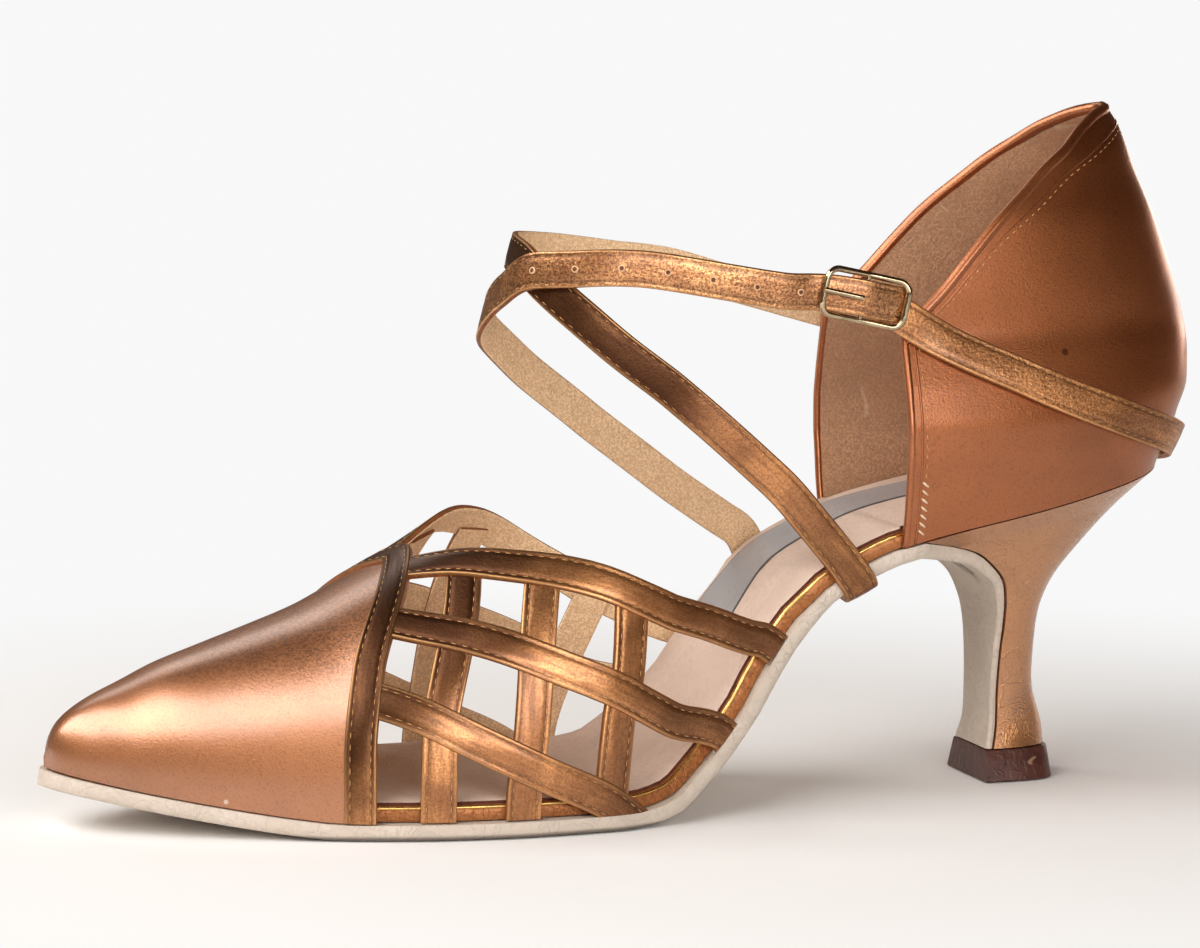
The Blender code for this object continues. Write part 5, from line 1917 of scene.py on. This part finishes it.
@dataclass
class Straps(Assembly):
    """Both instep straps, the heel strap and the buckle.

    The buckle stands on the counter's form at a turn and a level, and drop is how steeply it slopes.
    """

    buckle_length: float = 19 * MM
    buckle_height: float = 10.7 * MM
    wire: float = 1.3 * MM
    corner: float = 3 * MM
    bend: float = 1.2 * MM
    drop: float = 0.235
    place_turn: float = -0.24
    place_level: float = 0.5955
    prong_wire: float = 1.1 * MM
    hole_pitch: float = 9.2 * MM
    holes: int = 7
    first_hole_x: float = 54.7 * MM

    def __post_init__(self) -> None:
        """Finds the buckle's place and directions."""
        form, sizes = self.form, self.form.s
        height = form.height_of(self.place_level)
        offset = sizes.gap + sizes.ease + sizes.layer + sizes.strap / 2
        self.middle = form.counter(self.place_turn, height, offset)
        ahead = form.counter(self.place_turn - 0.05, height, offset)
        run = (ahead - self.middle).normalized()
        self.ahead = Vector((run.x, -0.03, self.drop)).normalized()
        outward = Vector((0, 1, 0)) - self.ahead * self.ahead.y
        self.out = outward.normalized()
        self.across = self.out.cross(self.ahead)

    def _at(self, along: float, out: float, across: float = 0.0) -> Vector:
        """Place in the buckle.

        Args:
            along: half buckle lengths ahead.
            out: distance outward.
            across: distance across.

        Returns:
            The point.
        """
        return (self.middle + self.ahead * (along * self.buckle_length / 2) + self.out * out
                + self.across * across)

    def _in_buckle(self, rows: tuple[Row, ...]) -> list[Place]:
        """Run of a strap through the buckle."""
        layer = self.form.s.layer
        return [(self._at(a, b * layer, c * layer), self.out) for a, b, c in rows]

    def _on_ankle(self, rows: tuple[Row, ...]) -> list[Place]:
        """Run of a strap over the instep."""
        return [self.form.ankle(turn, height * self.form.peak, layer * self.form.s.layer)
                for turn, height, layer in smooth_rows(rows, 2)]

    def _on_counter(self, rows: tuple[Row, ...], out: float) -> list[Place]:
        """Run of a strap around the counter, at a distance off it."""
        return [self.form.on_counter(turn, self.form.height_of(level), out)
                for turn, level in smooth_rows(rows, 2)]

    def _arch(self, station: float, side: int) -> list[Place]:
        """Half loop from the middle of the sole's underside up its edge.

        Args:
            station: where the strap turns up.
            side: 1 for the outer edge, -1 for the inner one.

        Returns:
            Points and directions.
        """
        form, sizes = self.form, self.form.s
        reach = sizes.edge_round + sizes.gap + sizes.ease + sizes.strap / 2
        depth = sizes.outsole - sizes.edge_round
        places = []
        for share in (0.012, 0.4, 0.75):
            spot = station - 2 * MM * (1 - share) / sizes.sole_length
            edge = form.edges(spot)[0 if side > 0 else 1]
            down = form.under(spot, 1.0)
            top = Vector((form.along(spot), edge * share, form.feather(spot)))
            places.append((top + down * (depth + reach), down))
        edge = form.edges(station)[0 if side > 0 else 1]
        down = form.under(station, 1.0)
        centre = Vector((form.along(station), edge - side * sizes.edge_round, form.feather(station)))
        for step in range(5):
            angle = math.pi / 2 * step / 4
            out = down * math.cos(angle) + Vector((0, side * math.sin(angle), 0))
            places.append((centre + down * depth + out * reach, out))
        return places

    @staticmethod
    def _route(*runs: list[Place]) -> Route:
        """Smooth route through several runs.

        Args:
            runs: points and directions of each run.

        Returns:
            The route.
        """
        rows = [tuple(point) + tuple(normal) for run in runs for point, normal in run]
        places = [(Vector(row[:3]), Vector(row[3:]).normalized()) for row in smooth_rows(rows, 6)]
        return Route(places, 1.2 * MM, 3)

    def build(self) -> None:
        """Makes straps, holes and buckle."""
        sizes = self.form.s
        on_counter = sizes.gap + sizes.ease + sizes.strap / 2
        first = self._route(self._arch(FIRST_ARCH, 1), self._on_ankle(FIRST_STRAP),
                            self._on_counter(CORNER_END, on_counter))
        second = self._route(self._arch(SECOND_ARCH, -1), self._on_ankle(SECOND_STRAP),
                             self._in_buckle(UNDER_BUCKLE))
        heel = self._route(self._in_buckle(BAR_LOOP), self._on_counter(HEEL_STRAP, on_counter))
        cut = StrapCut(sizes.strap_width, sizes.strap, sizes.strap / 2, seam_inset=0.95 * MM,
                       groove=0.05 * MM)
        for node, route, face in (("instep_strap_first", first, "leather_crossing"),
                                  ("instep_strap_second", second, "leather_instep"),
                                  ("heel_strap", heel, "leather_heel_strap")):
            finish_mesh(f"{node}_leather", cut.build(route), self.wardrobe.strap(face), node)
            threads = ThreadRow(2.4 * MM, 1.5 * MM, 0.15 * MM)
            threads.sew_pair(route, cut, sizes.strap / 2)
            threads.piece(f"{node}_stitches", self.wardrobe["thread"], node)
        self._punch(second)
        self._frame(self.wardrobe["buckle_metal"])
        self._bar_and_prong(self.wardrobe["buckle_metal"])

    def _punch(self, route: Route) -> None:
        """Makes the row of punched holes in the second strap, with pale rims as painted glints and dark
        discs as painted shade inside them.

        Args:
            route: the strap's middle line.
        """
        start = max(run for point, run in zip(route.points, route.runs)
                    if point.y > 0 and point.x > self.first_hole_x)
        glint_rims, dark = bmesh.new(), bmesh.new()
        for number in range(self.holes):
            place = route.place(start - number * self.hole_pitch, 0.0, self.form.s.strap / 2 + 0.1 * MM)
            # Pale rims are painted glints at the hole edges; the dark discs are painted shade inside the
            # holes.
            bmesh.ops.create_cone(glint_rims, cap_ends=True, segments=12, radius1=0.95 * MM, radius2=0.5 * MM,
                                  depth=0.22 * MM, matrix=place)
            bmesh.ops.create_cone(dark, cap_ends=True, segments=12, radius1=0.45 * MM, radius2=0.45 * MM,
                                  depth=0.26 * MM, matrix=place)
        finish_mesh("punched_rims", glint_rims, [self.wardrobe["hole_rim_glint"]], "instep_strap_second", 60)
        finish_mesh("punched_holes", dark, [self.wardrobe["hole_shade"]], "instep_strap_second", 60)

    @property
    def _over(self) -> float:
        """Distance of the frame's middle outward, clear of the strap."""
        return self.form.s.strap / 2 + 2 * self.form.s.gap + self.wire / 2

    def _frame_path(self) -> list[tuple[float, float]]:
        """Middle line of the frame: a rectangle with round corners.

        Returns:
            Distances ahead and across, in order around the frame.
        """
        radius = self.wire / 2
        half_run = self.buckle_length / 2 - radius
        half_rise = self.buckle_height / 2 - radius
        corner = self.corner - radius
        path = []
        for run_side, rise_side, start in ((1, 1, 0), (-1, 1, 90), (-1, -1, 180), (1, -1, 270)):
            for step in range(9):
                angle = math.radians(start + 90 * step / 8)
                path.append((run_side * (half_run - corner) + corner * math.cos(angle),
                             rise_side * (half_rise - corner) + corner * math.sin(angle)))
            if run_side * rise_side > 0:
                for share in (0.5, 0.0, -0.5):
                    path.append((share * (half_run - corner) * run_side, rise_side * half_rise))
        return path

    def _frame(self, metal: Material) -> None:
        """Makes the frame, bent to the ankle.

        Args:
            metal: its material.
        """
        radius = self.wire / 2
        half_run = self.buckle_length / 2 - radius
        path = self._frame_path()
        rings = []
        for index, (run, rise) in enumerate(path):
            following, previous = path[(index + 1) % len(path)], path[index - 1]
            heading = Vector((following[0] - previous[0], following[1] - previous[1])).normalized()
            out = self._over - self.bend * (1 - (run / half_run) ** 2)
            ring = []
            for side in range(12):
                angle = 2 * math.pi * side / 12
                swing = radius * math.cos(angle)
                ring.append(self._at((run + heading.y * swing) / (self.buckle_length / 2),
                                     out + radius * math.sin(angle), rise - heading.x * swing))
            rings.append(ring)
        finish_mesh("buckle_ring", loft(rings + [rings[0]], closed=True), [metal], "buckle_frame", 60)

    def _bar_and_prong(self, metal: Material) -> None:
        """Makes the middle bar and the prong that rests on the frame.

        Args:
            metal: their material.
        """
        sizes, radius = self.form.s, self.wire / 2
        half_rise = self.buckle_height / 2 - radius
        bar = [self._at(0.0, self._over - self.bend, half_rise * share) for share in (-1, -0.5, 0, 0.5, 1)]
        finish_mesh("buckle_bar_pin", tube(bar, radius * 0.9, 12), [metal], "buckle_frame", 60)
        hump = UNDER_BUCKLE[3][1] * sizes.layer + sizes.strap / 2 + sizes.gap
        rest = self._over + radius + sizes.gap
        rows = ((0.12, hump), (0.25, hump * 1.01), (0.4, hump * 0.97), (0.6, rest + 0.2 * MM),
                (0.8, rest + 0.08 * MM), (1.0, rest))
        path = [self._at(share, out + 0.42 * MM) for share, out in rows]
        finish_mesh("prong_pin", tube(path, self.prong_wire / 2, 10), [metal], "buckle_prong", 60)


# Stage, lights and camera

@dataclass(frozen=True)
class Softbox:
    """Rectangular lamp that looks at the shoe, with its azimuth counted from the camera's."""

    name: str
    azimuth: float
    elevation: float
    distance: float
    size: tuple[float, float]
    watts: float
    tint: tuple[float, float, float]

    def make(self) -> Object:
        """Builds the lamp.

        Returns:
            The lamp, not yet placed.
        """
        data = bpy.data.lights.new(self.name, "AREA")
        data.shape = "RECTANGLE"
        data.size, data.size_y = self.size
        data.energy = self.watts
        data.color = self.tint
        return bpy.data.objects.new(self.name, data)


WHITE = (1.0, 0.98, 0.95)
WARM = (1.0, 0.93, 0.85)


@dataclass
class Studio:
    """Pale floor, soft lights and the camera at the photograph's angle."""

    azimuth: float = 161.66
    elevation: float = 7.64
    distance: float = 1.3
    lens: float = 192.3
    target: tuple[float, float, float] = (88.19 * MM, 0.0, 66.41 * MM)
    softboxes: tuple[Softbox, ...] = (
        Softbox("heel_side", 19, 15, 1.25, (0.95, 0.44), 7.5, WHITE),
        Softbox("toe_side", -64, 45, 1.3, (2.30, 0.75), 27.0, WHITE),
        Softbox("behind", -157, 34, 1.3, (0.45, 0.45), 1.2, WARM),
        Softbox("heel_back", 150, 3, 0.9, (0.8, 0.12), 1.1, WARM),
    )

    def _aim(self, item: Object, azimuth: float, elevation: float, distance: float) -> None:
        """Places a lamp or the camera so that it looks at the shoe.

        Args:
            item: what is placed.
            azimuth: its direction in degrees.
            elevation: its height in degrees.
            distance: its distance from the target.
        """
        turn, rise = math.radians(azimuth), math.radians(elevation)
        way = Vector((math.sin(turn) * math.cos(rise), -math.cos(turn) * math.cos(rise), math.sin(rise)))
        item.location = Vector(self.target) + way * distance
        item.rotation_euler = way.to_track_quat("Z", "Y").to_euler()
        bpy.context.scene.collection.objects.link(item)

    def build(self) -> None:
        """Makes floor, world, lamps and camera."""
        self._floor()
        self._world()
        for softbox in self.softboxes:
            self._aim(softbox.make(), self.azimuth + softbox.azimuth, softbox.elevation, softbox.distance)
        camera = bpy.data.cameras.new("camera")
        camera.lens = self.lens
        camera.sensor_width = 36
        view = bpy.data.objects.new("camera", camera)
        self._aim(view, self.azimuth, self.elevation, self.distance)
        bpy.context.scene.camera = view
        bpy.context.scene.view_settings.view_transform = "Standard"

    def _floor(self) -> None:
        """Makes the floor, just under the shoe."""
        builder = bmesh.new()
        bmesh.ops.create_grid(builder, x_segments=1, y_segments=1, size=6.0)
        bmesh.ops.translate(builder, verts=builder.verts, vec=(0, 0, -0.2 * MM))
        mesh = bpy.data.meshes.new("floor")
        builder.to_mesh(mesh)
        builder.free()
        floor = bpy.data.objects.new("floor", mesh)
        mesh.materials.append(self._floor_paint())
        bpy.context.scene.collection.objects.link(floor)

    @staticmethod
    def _floor_paint() -> Material:
        """Pale floor that goes over to an even pale backdrop away from the shoe.

        Returns:
            The material.
        """
        material = bpy.data.materials.new("pale_floor")
        material.use_nodes = True
        graph = Graph(material.node_tree)
        shader = material.node_tree.nodes["Principled BSDF"]
        shader.inputs["Base Color"].default_value = (0.93, 0.925, 0.92, 1)
        shader.inputs["Roughness"].default_value = 0.9
        place = graph.add("ShaderNodeTexCoord").outputs["Object"]
        far = graph.between(graph.distance(place, (0.085, 0.0, 0.0)), 0.10, 0.30)
        seen = graph.add("ShaderNodeLightPath").outputs["Is Camera Ray"]
        glow = graph.add("ShaderNodeEmission", {"Color": (0.94, 0.94, 0.94, 1), "Strength": 1.0})
        mixed = graph.add("ShaderNodeMixShader", {0: graph.math("MULTIPLY", far, seen),
                                                  1: shader.outputs[0], 2: glow.outputs[0]})
        graph.feed(material.node_tree.nodes["Material Output"].inputs["Surface"], mixed.outputs[0])
        return material

    @staticmethod
    def _world() -> None:
        """Makes a sky that is pale to the camera and a dim warm room to everything else."""
        world = bpy.data.worlds.new("studio")
        world.use_nodes = True
        bpy.context.scene.world = world
        graph = Graph(world.node_tree)
        shader = world.node_tree.nodes["Background"]
        height = graph.axis(graph.add("ShaderNodeTexCoord").outputs["Generated"], 2)
        room = graph.blend(graph.between(height, 0.0, 0.5), (0.14, 0.095, 0.065, 1), (0.05, 0.03, 0.02, 1))
        seen = graph.add("ShaderNodeLightPath").outputs["Is Camera Ray"]
        graph.feed(shader.inputs["Color"], graph.blend(seen, room, (0.93, 0.93, 0.93, 1)))
        shader.inputs["Strength"].default_value = 1.0


def main() -> None:
    """Dresses the shoe piece by piece and sets the stage."""
    logging.basicConfig(level=logging.INFO, format="%(name)s %(message)s")
    form = ShoeForm(Sizes())
    wardrobe = Wardrobe()
    for assembly in (Outsole, Insole, Heel, Vamp, Counter, Straps):
        log.info("building %s", assembly.__name__)
        assembly(form, wardrobe).build()
    Studio().build()


if __name__ == "__main__":
    main()
